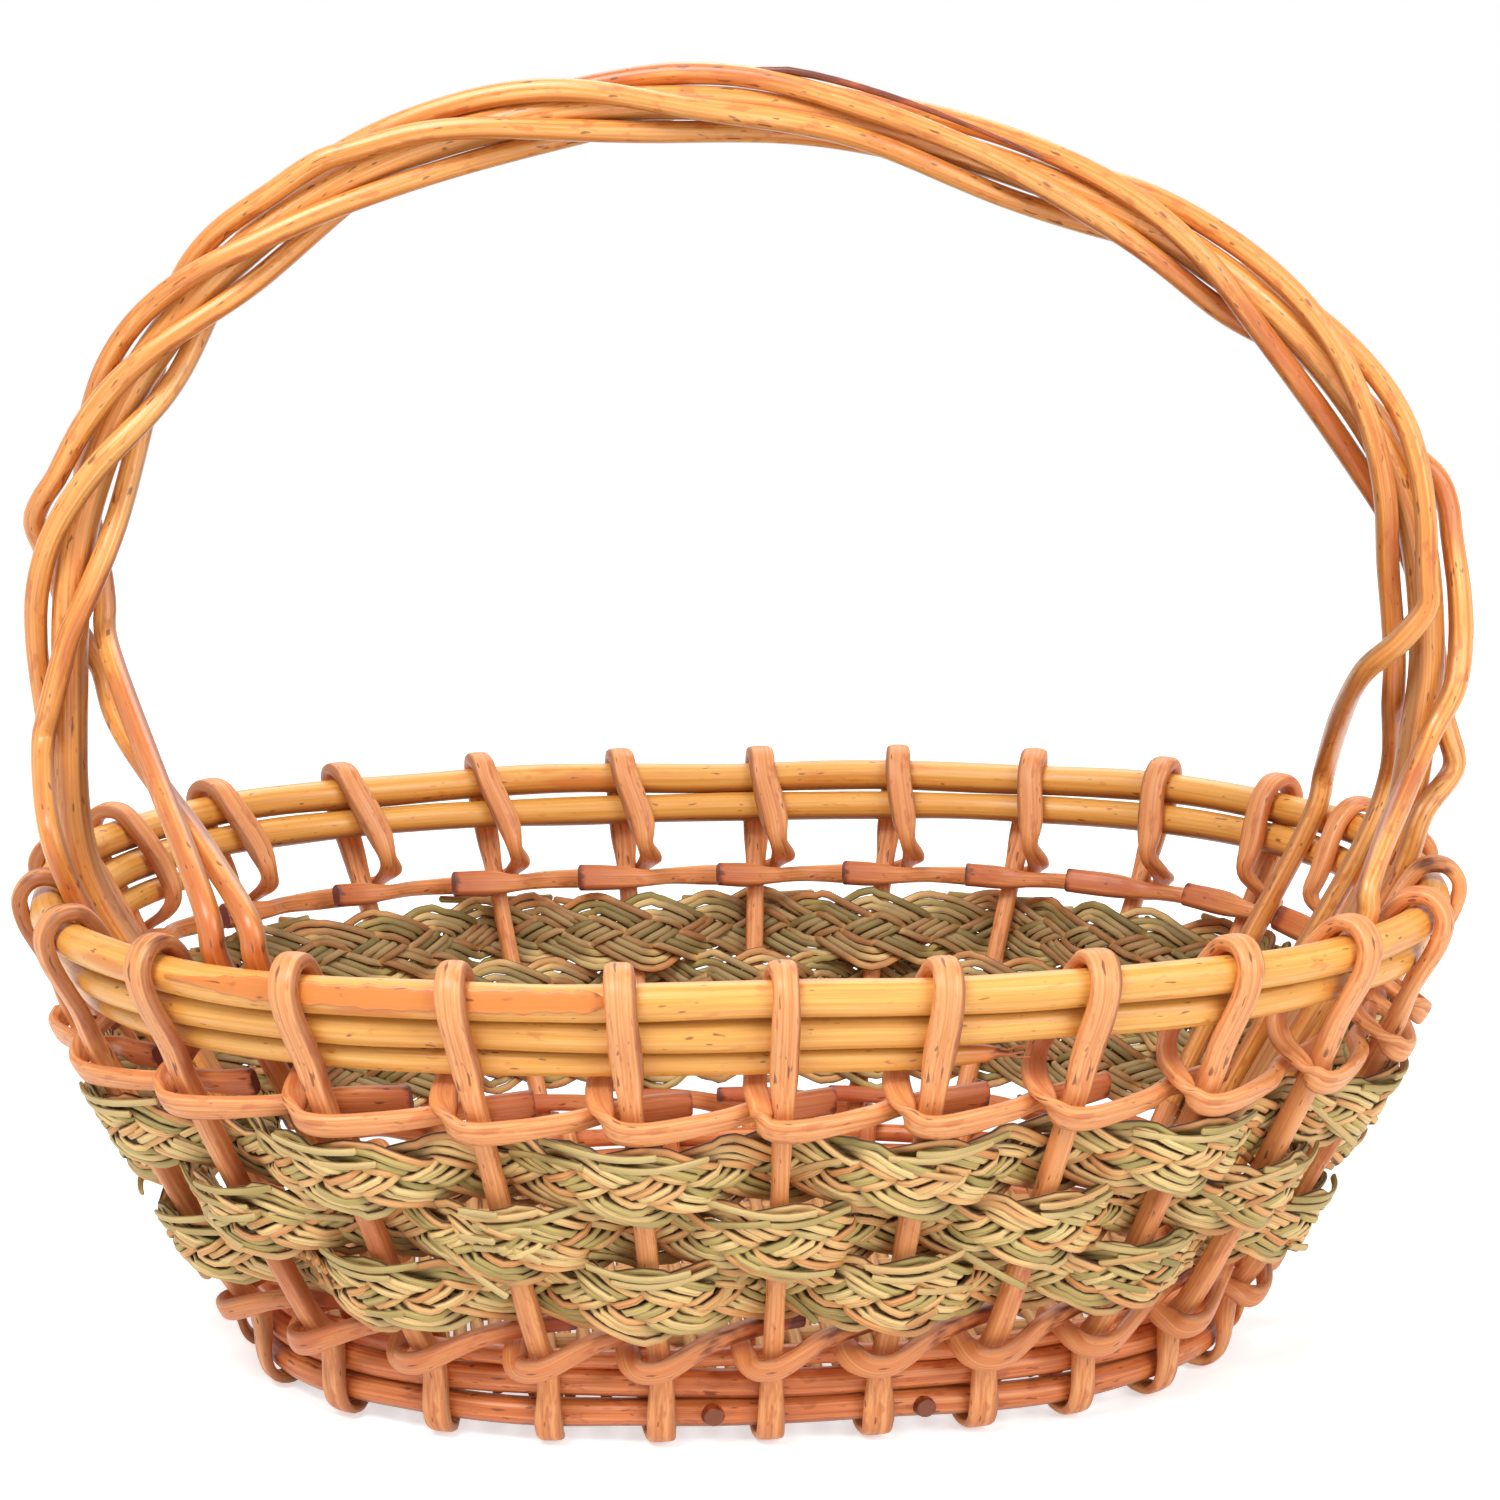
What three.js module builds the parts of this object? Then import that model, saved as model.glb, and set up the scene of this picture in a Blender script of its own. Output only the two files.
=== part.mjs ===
// Oval willow flower basket with stacked hoops, wrapped uprights, three plaited rows
// and a fixed bow handle. Millimetres, +Z up, +X along the length, standing on z = 0.
// The origin is on the floor under the middle of the oval.
import * as THREE from 'three';

// Driving dimensions of the oval wall
const RIM_HALF_LENGTH = 200;
const RIM_HALF_WIDTH = 143;
const BASE_HALF_LENGTH = 143;
const BASE_HALF_WIDTH = 102;
const OVAL_SQUARENESS = 2.55;

// Rod sizes, as radii
const RIM_UPPER_R = 5.0;
const RIM_LOWER_R = 4.7;
const RIM_FILLER_R = 3.7;
const BASE_HOOP_R = 4.0;
const BASE_TOP_HOOP_R = 2.8;
const UPRIGHT_R = 3.3;
const TAIL_R = 2.9;

// Half sizes of an upright where it is flattened over the rim and under the base
const BAND_HALF_WIDTH = 4.4;
const BAND_HALF_THICK = 2.4;
const UNDER_HALF_THICK = 2.2;

// Plaited rows: three bands, each wide where it passes an upright and narrow between
const ROW_COUNT = 3;
const PLAIT_LOBE_HALF_HEIGHT = 12.5;
const PLAIT_NECK_HALF_HEIGHT = 9.1;
const PLAIT_HALF_THICK = 3.0;

// Clearance between two rods that touch
const GAP = 0.4;

// Uprights: evenly spaced, but for an ease that draws them a little closer along the
// front and opens them at the left end, where the handle's rods go down
const UPRIGHT_COUNT = 26;
const FIRST_PLACE = 11.8;
const SPACING_EASE = 13.2;
const CLOSEST_UPRIGHT = 9;

// How far an upright's end leans back along the wall before it comes out, and runs on
const TURN_BACK = 8;
const TAIL_PAST_NEXT = 9;
// Half the flat that an upright stands on, and its extra ease inside the base hoops
const LEVEL_HALF = 1.8;
const INNER_EASE = 0.5;

// Short third rim rod: its ends, counted in uprights from the first, and its thin tips
const FILLER_ENDS = [-2.66, 7.46];
const FILLER_TIP_R = 1.6;

// Handle: a core rod bent to a bow, and four rods that wind round it
const CORE_R = 5.3;
const STRAND_R = 3.4;
const STRAND_COUNT = 4;
const WIND_GAP = 1.1;
const FOOT_GAP = 0.7;
const HANDLE_RISE = 221.8;
const FOOT_SPREAD = 5;
const FOOT_END_Z = 46;
const BOW_MIDDLE_Y = -9.5;
const BOW_SKEW = -0.055;
// The bow's route, as shares of the rim's half length and of the handle's rise
const BOW_SHAPE = [
  [-0.965, 0.245], [-0.935, 0.49], [-0.815, 0.71], [-0.59, 0.89], [-0.3, 0.985], [0, 1],
  [0.31, 0.94], [0.59, 0.84], [0.81, 0.69], [0.95, 0.505], [0.99, 0.31], [0.98, 0.175],
];
// Where the core goes down inside the rim, counted in uprights from the first
const CORE_FEET = [-0.52, 12.49];
// Each strand: where it goes down, how high over the rim it comes in, and the share of the
// bow at which it leaves the winding. Some first go on round the core: to a share of the
// bow, a side counted in quarter turns from the front, and so far clear of the winding
const STRAND_LEFT = [
  { foot: 0.23, lift: 18, leave: 0.06 },
  { foot: -0.8, lift: 16, leave: 0.06 },
  { foot: 2.62, lift: 9, leave: 0.105, round: [0.07, 1, 2.6] },
  { foot: 2.3, lift: 9, leave: 0.105 },
];
const STRAND_RIGHT = [
  { foot: 13.31, lift: 18, leave: 0.93 },
  { foot: 14.3, lift: 11, leave: 0.885, round: [0.915, 1, 8] },
  { foot: 10.53, lift: 13, leave: 0.9, round: [0.93, 4, 2] },
  { foot: 12.21, lift: 16, leave: 0.93, round: [0.955, 3, 2.6] },
];
// Share of the bow's length at which one strand after another comes to the front
const FRONT_SHARES = [0.105, 0.16, 0.226, 0.293, 0.39, 0.479, 0.603, 0.71, 0.79, 0.869];
// Shares of the bow where the winding first begins and last ends
const STRAND_RELEASE = 0.06;
const STRAND_REJOIN = 0.93;

// Floor mat: five long sticks and one rod that runs to and fro across them
const FLOOR_STICK_R = 2.6;
const FLOOR_WEAVER_R = 2.1;
const FLOOR_Z = 12.5;
const FLOOR_WEAVER_PITCH = 10.4;
const FLOOR_STICK_UPRIGHTS = [11, 12, 13, 14, 15];

// Facets
const UPRIGHT_SIDES = 5;
const HOOP_SIDES = 6;
const BASE_HOOP_SIDES = 5;
const FLOOR_WEAVER_SIDES = 4;

const COLOURS = {
  hoop: { color: 0xd99a4e, roughness: 0.45 },
  base: { color: 0xc4753a, roughness: 0.5 },
  upright: { color: 0xc39a78, roughness: 0.6 },
  plait: { color: 0xa8a060, roughness: 0.75 },
  handle: { color: 0xdba05a, roughness: 0.4 },
  floor: { color: 0xb98d62, roughness: 0.65 },
};

// Levels, stacked from the floor up
const facetDepth = Math.cos(Math.PI / UPRIGHT_SIDES);
const underZ = UNDER_HALF_THICK * facetDepth;
const baseZ = [underZ + UNDER_HALF_THICK + GAP + BASE_HOOP_R];
baseZ.push(baseZ[0] + 2 * BASE_HOOP_R + GAP);
baseZ.push(baseZ[1] + BASE_HOOP_R + BASE_TOP_HOOP_R + GAP);
const lowerTurnZ = baseZ[2] + BASE_TOP_HOOP_R + GAP + TAIL_R;
const tailStep = 2 * TAIL_R + GAP;
const lowerTailZ = lowerTurnZ + tailStep;
const rowStep = 2 * PLAIT_NECK_HALF_HEIGHT + GAP;
const lowestRowZ = lowerTailZ + TAIL_R + GAP + PLAIT_LOBE_HALF_HEIGHT;
const rowZ = Array.from({ length: ROW_COUNT }, (_, row) => lowestRowZ + row * rowStep);
const upperTailZ = rowZ[ROW_COUNT - 1] + PLAIT_LOBE_HALF_HEIGHT + GAP + TAIL_R;
const upperTurnZ = upperTailZ + tailStep;
const fillerZ = upperTurnZ + TAIL_R + GAP + RIM_FILLER_R;
// The rim hoops stack along the wall's slope, so a little closer than their thickness
const plumbStack = RIM_FILLER_R + 2 * RIM_LOWER_R + RIM_UPPER_R + 2 * GAP;
const wallSpread = Math.min(
  RIM_HALF_LENGTH - BASE_HALF_LENGTH, RIM_HALF_WIDTH - BASE_HALF_WIDTH,
);
const leanCos = Math.cos(Math.atan(wallSpread / (fillerZ + plumbStack - baseZ[2])));
const rimLowerZ = fillerZ + (RIM_FILLER_R + RIM_LOWER_R + GAP) * leanCos;
const rimUpperZ = rimLowerZ + (RIM_LOWER_R + RIM_UPPER_R + GAP) * leanCos;

// Distances out from the middle of the hoops
const legOut = RIM_UPPER_R + GAP + UPRIGHT_R;
const bandOut = RIM_UPPER_R + GAP + BAND_HALF_THICK;
const underOut = BASE_HOOP_R + GAP + UNDER_HALF_THICK;
const crossOut = legOut + UPRIGHT_R + GAP + TAIL_R;
const behindOut = legOut - UPRIGHT_R - GAP - TAIL_R;
const plaitSwing = UPRIGHT_R + GAP + PLAIT_HALF_THICK;
const strandFootOut = -(RIM_UPPER_R + FOOT_GAP + STRAND_R);
const coreFootOut = -(RIM_UPPER_R + FOOT_GAP + CORE_R);
const strandWindR = CORE_R + WIND_GAP + STRAND_R;

// The oval
const clamp01 = (value) => Math.min(1, Math.max(0, value));
const lerp = (from, to, share) => from + (to - from) * share;
const wallShare = (z) => Math.max(0, (z - baseZ[2]) / (rimUpperZ - baseZ[2]));
const halfLength = (z) => lerp(BASE_HALF_LENGTH, RIM_HALF_LENGTH, wallShare(z));
const halfWidth = (z) => lerp(BASE_HALF_WIDTH, RIM_HALF_WIDTH, wallShare(z));
const signedPower = (value, power) => Math.sign(value) * Math.abs(value) ** power;

// A unit oval's point at an angle, 0 at the left end, turning by the front
function unitPoint(angle) {
  return [
    -signedPower(Math.cos(angle), 2 / OVAL_SQUARENESS),
    -signedPower(Math.sin(angle), 2 / OVAL_SQUARENESS),
  ];
}

// Lengths along the rim hoop, for a fine row of angles
const TABLE_STEPS = 2880;
const rimLengths = [0];
for (let i = 1; i <= TABLE_STEPS; i += 1) {
  const before = unitPoint((2 * Math.PI * (i - 1)) / TABLE_STEPS);
  const after = unitPoint((2 * Math.PI * i) / TABLE_STEPS);
  const dx = (after[0] - before[0]) * RIM_HALF_LENGTH;
  const dy = (after[1] - before[1]) * RIM_HALF_WIDTH;
  rimLengths.push(rimLengths[i - 1] + Math.hypot(dx, dy));
}
const rimLength = rimLengths[TABLE_STEPS];

// The unit oval's point at a length along the rim hoop
function unitAt(place) {
  const wrapped = ((place % rimLength) + rimLength) % rimLength;
  let low = 0;
  let high = TABLE_STEPS;
  while (high - low > 1) {
    const middle = (low + high) >> 1;
    if (rimLengths[middle] <= wrapped) low = middle;
    else high = middle;
  }
  const share = (wrapped - rimLengths[low]) / (rimLengths[high] - rimLengths[low]);
  return unitPoint((2 * Math.PI * (low + share)) / TABLE_STEPS);
}

// The wall's own axes at a place: along the rim, out of the wall, and up the wall
function wallAxes(place, z) {
  const [cx, cy] = unitAt(place);
  const nx = signedPower(cx, OVAL_SQUARENESS - 1) / halfLength(z);
  const ny = signedPower(cy, OVAL_SQUARENESS - 1) / halfWidth(z);
  const flat = new THREE.Vector3(nx, ny, 0).normalize();
  const rise = rimUpperZ - baseZ[2];
  const leanX = ((RIM_HALF_LENGTH - BASE_HALF_LENGTH) * cx) / rise;
  const leanY = ((RIM_HALF_WIDTH - BASE_HALF_WIDTH) * cy) / rise;
  const lean = Math.atan(leanX * flat.x + leanY * flat.y);
  const leanHere = lean * clamp01((z - baseZ[2]) / tailStep);
  const out = flat.clone().multiplyScalar(Math.cos(leanHere));
  out.z = -Math.sin(leanHere);
  const along = new THREE.Vector3(-flat.y, flat.x, 0);
  const up = new THREE.Vector3().crossVectors(along, out).normalize().negate();
  return { along, out, up };
}

// A point of the wall: length along the rim, distance out of the hoops' middle, height
function wallPoint(place, out, z) {
  const [cx, cy] = unitAt(place);
  const point = new THREE.Vector3(halfLength(z) * cx, halfWidth(z) * cy, z);
  return point.addScaledVector(wallAxes(place, z).out, out);
}

// Where each upright stands along the rim
function uprightPlace(index) {
  const turn = (2 * Math.PI * (index - CLOSEST_UPRIGHT)) / UPRIGHT_COUNT;
  return FIRST_PLACE + (rimLength * index) / UPRIGHT_COUNT - SPACING_EASE * Math.sin(turn);
}

// A closed skin over rings of points, with flat ends or joined end to start
function loftGeometry(rings, joined) {
  const sides = rings[0].length;
  const positions = [];
  rings.forEach((ring) => ring.forEach((point) => positions.push(point.x, point.y, point.z)));
  const indices = [];
  const last = joined ? rings.length : rings.length - 1;
  for (let i = 0; i < last; i += 1) {
    const here = i * sides;
    const next = ((i + 1) % rings.length) * sides;
    for (let side = 0; side < sides; side += 1) {
      const other = (side + 1) % sides;
      indices.push(here + side, here + other, next + other);
      indices.push(here + side, next + other, next + side);
    }
  }
  if (!joined) {
    const end = (rings.length - 1) * sides;
    for (let side = 1; side < sides - 1; side += 1) {
      indices.push(0, side + 1, side);
      indices.push(end, end + side, end + side + 1);
    }
  }
  return outward(positions, indices);
}

// The same skin with its faces pointing out
function outward(positions, indices) {
  const corners = [0, 1, 2].map(() => new THREE.Vector3());
  let volume = 0;
  for (let i = 0; i < indices.length; i += 3) {
    corners.forEach((corner, k) => corner.fromArray(positions, 3 * indices[i + k]));
    volume += corners[0].dot(corners[1].clone().cross(corners[2]));
  }
  const faces = indices.slice();
  if (volume < 0) {
    for (let i = 0; i < faces.length; i += 3) {
      faces[i + 1] = indices[i + 2];
      faces[i + 2] = indices[i + 1];
    }
  }
  const geometry = new THREE.BufferGeometry();
  geometry.setAttribute('position', new THREE.Float32BufferAttribute(positions, 3));
  geometry.setIndex(faces);
  geometry.computeVertexNormals();
  return geometry;
}

// One ring of a rod: a regular polygon, stretched, with a flat side facing `thick`
function rodRing(centre, wide, thick, halfWide, halfThick, sides) {
  return Array.from({ length: sides }, (_, side) => {
    const angle = (2 * Math.PI * (side + 0.5)) / sides;
    return centre.clone()
      .addScaledVector(thick, Math.cos(angle) * halfThick)
      .addScaledVector(wide, Math.sin(angle) * halfWide);
  });
}

// A rod through a row of points, each with its half width and half thickness. The
// section is carried along without twisting from the point numbered `start`, where its
// flat side faces `facing`. At a level point the flat side lies on the ground.
const DOWN = new THREE.Vector3(0, 0, -1);
function rodGeometry(points, sides, start, facing) {
  const last = points.length - 1;
  const tangents = points.map((point, i) => {
    const before = points[Math.max(0, i - 1)].at;
    const after = points[Math.min(last, i + 1)].at;
    return after.clone().sub(before).normalize();
  });
  points.forEach((point, i) => {
    if (point.level) tangents[i].setZ(0).normalize();
  });
  const thick = [];
  thick[start] = squareTo(facing, tangents[start]);
  const carry = (i, from) => {
    thick[i] = squareTo(points[i].level ? DOWN : thick[from], tangents[i]);
  };
  for (let i = start + 1; i <= last; i += 1) carry(i, i - 1);
  for (let i = start - 1; i >= 0; i -= 1) carry(i, i + 1);
  const rings = points.map((point, i) => {
    const wide = new THREE.Vector3().crossVectors(tangents[i], thick[i]).normalize();
    return rodRing(point.at, wide, thick[i], point.wide, point.thick, sides);
  });
  return loftGeometry(rings, false);
}

function squareTo(direction, tangent) {
  return direction.clone().addScaledVector(tangent, -direction.dot(tangent)).normalize();
}

// A hoop that follows the oval at one height, with a joint at each upright and between
function hoopGeometry(z, radius, sides) {
  const rings = [];
  for (let i = 0; i < UPRIGHT_COUNT; i += 1) {
    [0, 0.5].forEach((share) => {
      const place = lerp(uprightPlace(i), uprightPlace(i + 1), share);
      const { out, up } = wallAxes(place, z);
      rings.push(rodRing(wallPoint(place, 0, z), up, out, radius, radius, sides));
    });
  }
  return loftGeometry(rings, true);
}

// The short third rim rod, from the left end along the front, with thin ends
const FILLER_STEP = 21;
function fillerGeometry() {
  const [from, to] = FILLER_ENDS.map(uprightPlace);
  const steps = Math.round((to - from) / FILLER_STEP);
  const points = Array.from({ length: steps + 1 }, (_, i) => {
    const place = lerp(from, to, i / steps);
    const radius = i === 0 || i === steps ? FILLER_TIP_R : RIM_FILLER_R;
    return { at: wallPoint(place, 0, fillerZ), wide: radius, thick: radius };
  });
  const facing = wallAxes(from, fillerZ).out;
  return rodGeometry(points, BASE_HOOP_SIDES, 0, facing);
}

// The path of one upright. Each stop is [share of the way back or on, out, z, half width,
// half thickness], where the first number is a length along the wall at that height.
function uprightStops(pitch) {
  const wallScale = (z) => halfLength(z) / RIM_HALF_LENGTH;
  const lowPitch = pitch * wallScale(lowerTailZ);
  const tail = [TAIL_R, TAIL_R];
  const rod = [UPRIGHT_R, UPRIGHT_R];
  const band = [BAND_HALF_WIDTH, BAND_HALF_THICK];
  const under = [BAND_HALF_WIDTH, UNDER_HALF_THICK];
  const half = Math.SQRT1_2;
  const underInner = underOut + INNER_EASE;
  const lower = [
    [lowPitch + TAIL_PAST_NEXT, -0.5, lowerTailZ, ...tail],
    [lowPitch, behindOut - 0.6, lowerTailZ, ...tail],
    [lowPitch - 16, legOut - 1.2, lowerTailZ - 0.9, ...tail],
    [0.5, crossOut, lowerTurnZ + 1.8, ...tail],
    [-4.8, crossOut - 1.2, lowerTurnZ + 0.9, ...tail],
    [0.8 - TURN_BACK, legOut - 0.4, lowerTurnZ + 0.4, ...tail],
    [-TURN_BACK, -0.5, lowerTurnZ, ...tail],
    [2.4 - TURN_BACK, -underOut, baseZ[2] + 3.6, ...tail],
    [-5, -underInner - 0.2, baseZ[1] + 2.5, TAIL_R, TAIL_R - 0.2],
    [-2, -underInner, baseZ[0], ...under],
    [-1.6, -underInner * half, baseZ[0] - underOut * half, ...under],
    [-1, -LEVEL_HALF, underZ, ...under],
    [0, LEVEL_HALF, underZ, ...under],
    [0, underOut * half, baseZ[0] - underOut * half, ...under],
    [0, underOut, baseZ[0], ...under],
    [0, BASE_HOOP_R + GAP + UPRIGHT_R, baseZ[2], UPRIGHT_R, UPRIGHT_R],
    [0, legOut, lowerTailZ - 2, ...rod],
  ];
  const upper = [
    [0, legOut, upperTurnZ - 2, ...rod],
    [0, bandOut, fillerZ + 2, ...band],
    [0, bandOut, rimUpperZ, ...band],
    [0, bandOut * half, rimUpperZ + bandOut * half, ...band],
    [0, 0, rimUpperZ + bandOut, ...band],
    [-0.4, -bandOut * half, rimUpperZ + bandOut * half, ...band],
    [-1, -bandOut, rimUpperZ, ...band],
    [-5, -bandOut, fillerZ + 3, BAND_HALF_WIDTH - 1, BAND_HALF_THICK],
    [2 - TURN_BACK, -bandOut + 1.2, upperTurnZ + 3, ...tail],
    [-TURN_BACK, 0, upperTurnZ, ...tail],
    [0.8 - TURN_BACK, legOut - 0.4, upperTurnZ - 1.3, ...tail],
    [-4.8, crossOut - 1.2, upperTailZ + 2.8, ...tail],
    [1, crossOut, upperTailZ + 2, ...tail],
    [pitch - 19, legOut - 0.4, upperTailZ + 1, ...tail],
    [pitch - 9, behindOut + 0.2, upperTailZ - 0.2, ...tail],
    [pitch, behindOut - 0.6, upperTailZ, ...tail],
    [pitch + TAIL_PAST_NEXT, -0.5, upperTailZ + 0.2, ...tail],
  ];
  return { stops: [...lower, ...upper], middle: lower.length, wallScale };
}

function uprightGeometry(index) {
  const place = uprightPlace(index);
  const { stops, middle, wallScale } = uprightStops(uprightPlace(index + 1) - place);
  const points = stops.map(([along, out, z, wide, thick]) => ({
    at: wallPoint(place + along / wallScale(z), out, z),
    wide,
    thick,
    level: z === underZ,
  }));
  return rodGeometry(points, UPRIGHT_SIDES, middle, wallAxes(place, stops[middle][2]).out);
}

// A plaited row: a lens-shaped band that goes inside one upright and outside the next
const ROW_SHARES = [0, 0.25, 0.5, 0.75];
const LOBE_FULLNESS = 0.5;
function plaitHalfHeight(share) {
  const lobe = Math.abs(Math.cos(Math.PI * share)) ** LOBE_FULLNESS;
  return lerp(PLAIT_NECK_HALF_HEIGHT, PLAIT_LOBE_HALF_HEIGHT, lobe);
}

function plaitGeometry(row) {
  const rings = [];
  for (let i = 0; i < UPRIGHT_COUNT; i += 1) {
    const side = (i + row) % 2 === 0 ? -1 : 1;
    ROW_SHARES.forEach((share) => {
      const place = lerp(uprightPlace(i), uprightPlace(i + 1), share);
      const out = legOut + side * plaitSwing * Math.cos(Math.PI * share);
      rings.push(plaitRing(place, out, rowZ[row], plaitHalfHeight(share)));
    });
  }
  return loftGeometry(rings, true);
}

function plaitRing(place, out, z, halfHeight) {
  const shoulder = halfHeight / 2;
  return [
    wallPoint(place, out, z + halfHeight),
    wallPoint(place, out + PLAIT_HALF_THICK, z + shoulder),
    wallPoint(place, out + PLAIT_HALF_THICK, z - shoulder),
    wallPoint(place, out, z - halfHeight),
    wallPoint(place, out - PLAIT_HALF_THICK, z - shoulder),
    wallPoint(place, out - PLAIT_HALF_THICK, z + shoulder),
  ];
}

// The handle's bow, from the left foot inside the wall, over, to the right foot
const FOOT_MIDDLE = 0.55;
function footPoints(place, out, spread = 0) {
  const middleZ = lerp(FOOT_END_Z, rimUpperZ, FOOT_MIDDLE);
  const heights = [FOOT_END_Z, middleZ, rimUpperZ + 2];
  return heights.map((z, i) => wallPoint(place + (spread * (2 - i)) / 2, out, z));
}
const bowPoints = BOW_SHAPE.map(([across, rise]) => {
  const x = across * RIM_HALF_LENGTH;
  return new THREE.Vector3(x, BOW_MIDDLE_Y + x * BOW_SKEW, rimUpperZ + rise * HANDLE_RISE);
});
const [coreLeft, coreRight] = CORE_FEET.map(uprightPlace);
const bow = new THREE.CatmullRomCurve3([
  ...footPoints(coreLeft, coreFootOut),
  ...bowPoints,
  ...footPoints(coreRight, coreFootOut).reverse(),
], false, 'centripetal');
bow.arcLengthDivisions = 800;
const bowLength = bow.getLength();

const CORE_STEP = 22;
function coreGeometry() {
  const steps = Math.round(bowLength / CORE_STEP);
  const points = bow.getSpacedPoints(steps).map((at) => ({ at, wide: CORE_R, thick: CORE_R }));
  return rodGeometry(points, HOOP_SIDES, 0, new THREE.Vector3(0, -1, 0));
}

// The stretch of the bow above the rim, as shares of its whole length. Its feet lean
// with the wall, about one part out for two parts up
const FOOT_LEAN = Math.atan(0.5);
const footLength = (rimUpperZ - FOOT_END_Z) / Math.cos(FOOT_LEAN);
const bowStart = footLength / bowLength;
const bowShare = (share) => lerp(bowStart, 1 - bowStart, share);

// Turns wound so far at a share of the bow, in strands that have come to the front
function frontCount(share) {
  const beforeFirst = 2 * STRAND_RELEASE - FRONT_SHARES[0];
  const shares = [beforeFirst, ...FRONT_SHARES, STRAND_REJOIN];
  let i = 0;
  while (i < shares.length - 2 && shares[i + 1] < share) i += 1;
  const counts = shares.map((_, k) => k - 1);
  counts[counts.length - 1] = FRONT_SHARES.length - 0.5;
  return lerp(counts[i], counts[i + 1], (share - shares[i]) / (shares[i + 1] - shares[i]));
}

// A point beside the bow: `angle` is 0 at the front and grows towards the inside
function besideBow(share, angle, distance) {
  const along = bow.getTangentAt(bowShare(share));
  const front = squareTo(new THREE.Vector3(0, -1, 0), along);
  const inner = new THREE.Vector3().crossVectors(along, front).normalize();
  const point = bow.getPointAt(bowShare(share));
  point.addScaledVector(front, Math.cos(angle) * distance);
  return point.addScaledVector(inner, Math.sin(angle) * distance);
}

const STRAND_STEPS = 40;
const GUIDE_IN = 3;
const FULL_TURN = 2 * Math.PI;

// Where a strand lies round the core, as an angle from 0 to a full turn
function windAngle(strand, share) {
  const angle = ((frontCount(share) - strand) * FULL_TURN) / STRAND_COUNT;
  return ((angle % FULL_TURN) + FULL_TURN) % FULL_TURN;
}

// The stops of one end of a strand, from its foot up to the core
function strandEnd(strand, { foot, lift, leave, round }, coreFoot) {
  const place = uprightPlace(foot);
  const spread = Math.sign(place - coreFoot) * FOOT_SPREAD;
  const stops = [
    ...footPoints(place, strandFootOut, spread),
    wallPoint(place, strandFootOut - GUIDE_IN, rimUpperZ + lift),
  ];
  if (round) {
    const [share, quarter, clear] = round;
    const angle = (quarter * FULL_TURN) / 4;
    const between = (windAngle(strand, leave) + angle) / 2;
    stops.push(besideBow(share, angle, strandWindR + clear));
    stops.push(besideBow((leave + share) / 2, between, strandWindR + clear / 2));
  }
  return stops;
}

function strandCurve(strand) {
  const left = STRAND_LEFT[strand];
  const right = STRAND_RIGHT[strand];
  const wound = Array.from({ length: STRAND_STEPS + 1 }, (_, i) => {
    const share = lerp(left.leave, right.leave, i / STRAND_STEPS);
    return besideBow(share, windAngle(strand, share), strandWindR);
  });
  return new THREE.CatmullRomCurve3([
    ...strandEnd(strand, left, coreLeft),
    ...wound,
    ...strandEnd(strand, right, coreRight).reverse(),
  ], false, 'centripetal');
}

const STRAND_STEP = 24;
function strandGeometry(strand) {
  const curve = strandCurve(strand);
  const steps = Math.round(curve.getLength() / STRAND_STEP);
  const points = curve.getSpacedPoints(steps).map((at) => (
    { at, wide: STRAND_R, thick: STRAND_R }
  ));
  return rodGeometry(points, BASE_HOOP_SIDES, 0, new THREE.Vector3(0, -1, 0));
}

// Half the length of a straight line across the floor, at a distance from its middle
const floorEdgeOut = BASE_HOOP_R + GAP + 2 * TAIL_R;
function floorReach(offset, halfAcross, halfAlong) {
  const across = halfAcross - floorEdgeOut;
  const along = halfAlong - floorEdgeOut;
  const rest = Math.max(0, 1 - Math.abs(offset / across) ** OVAL_SQUARENESS);
  return along * rest ** (1 / OVAL_SQUARENESS);
}

const stickY = FLOOR_STICK_UPRIGHTS.map((index) => wallPoint(uprightPlace(index), 0, FLOOR_Z).y);
function floorStickGeometry(y) {
  const reach = floorReach(y, BASE_HALF_WIDTH, BASE_HALF_LENGTH);
  const points = [-reach, reach].map((x) => (
    { at: new THREE.Vector3(x, y, FLOOR_Z), wide: FLOOR_STICK_R, thick: FLOOR_STICK_R }
  ));
  return rodGeometry(points, HOOP_SIDES, 0, new THREE.Vector3(0, 0, 1));
}

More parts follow.
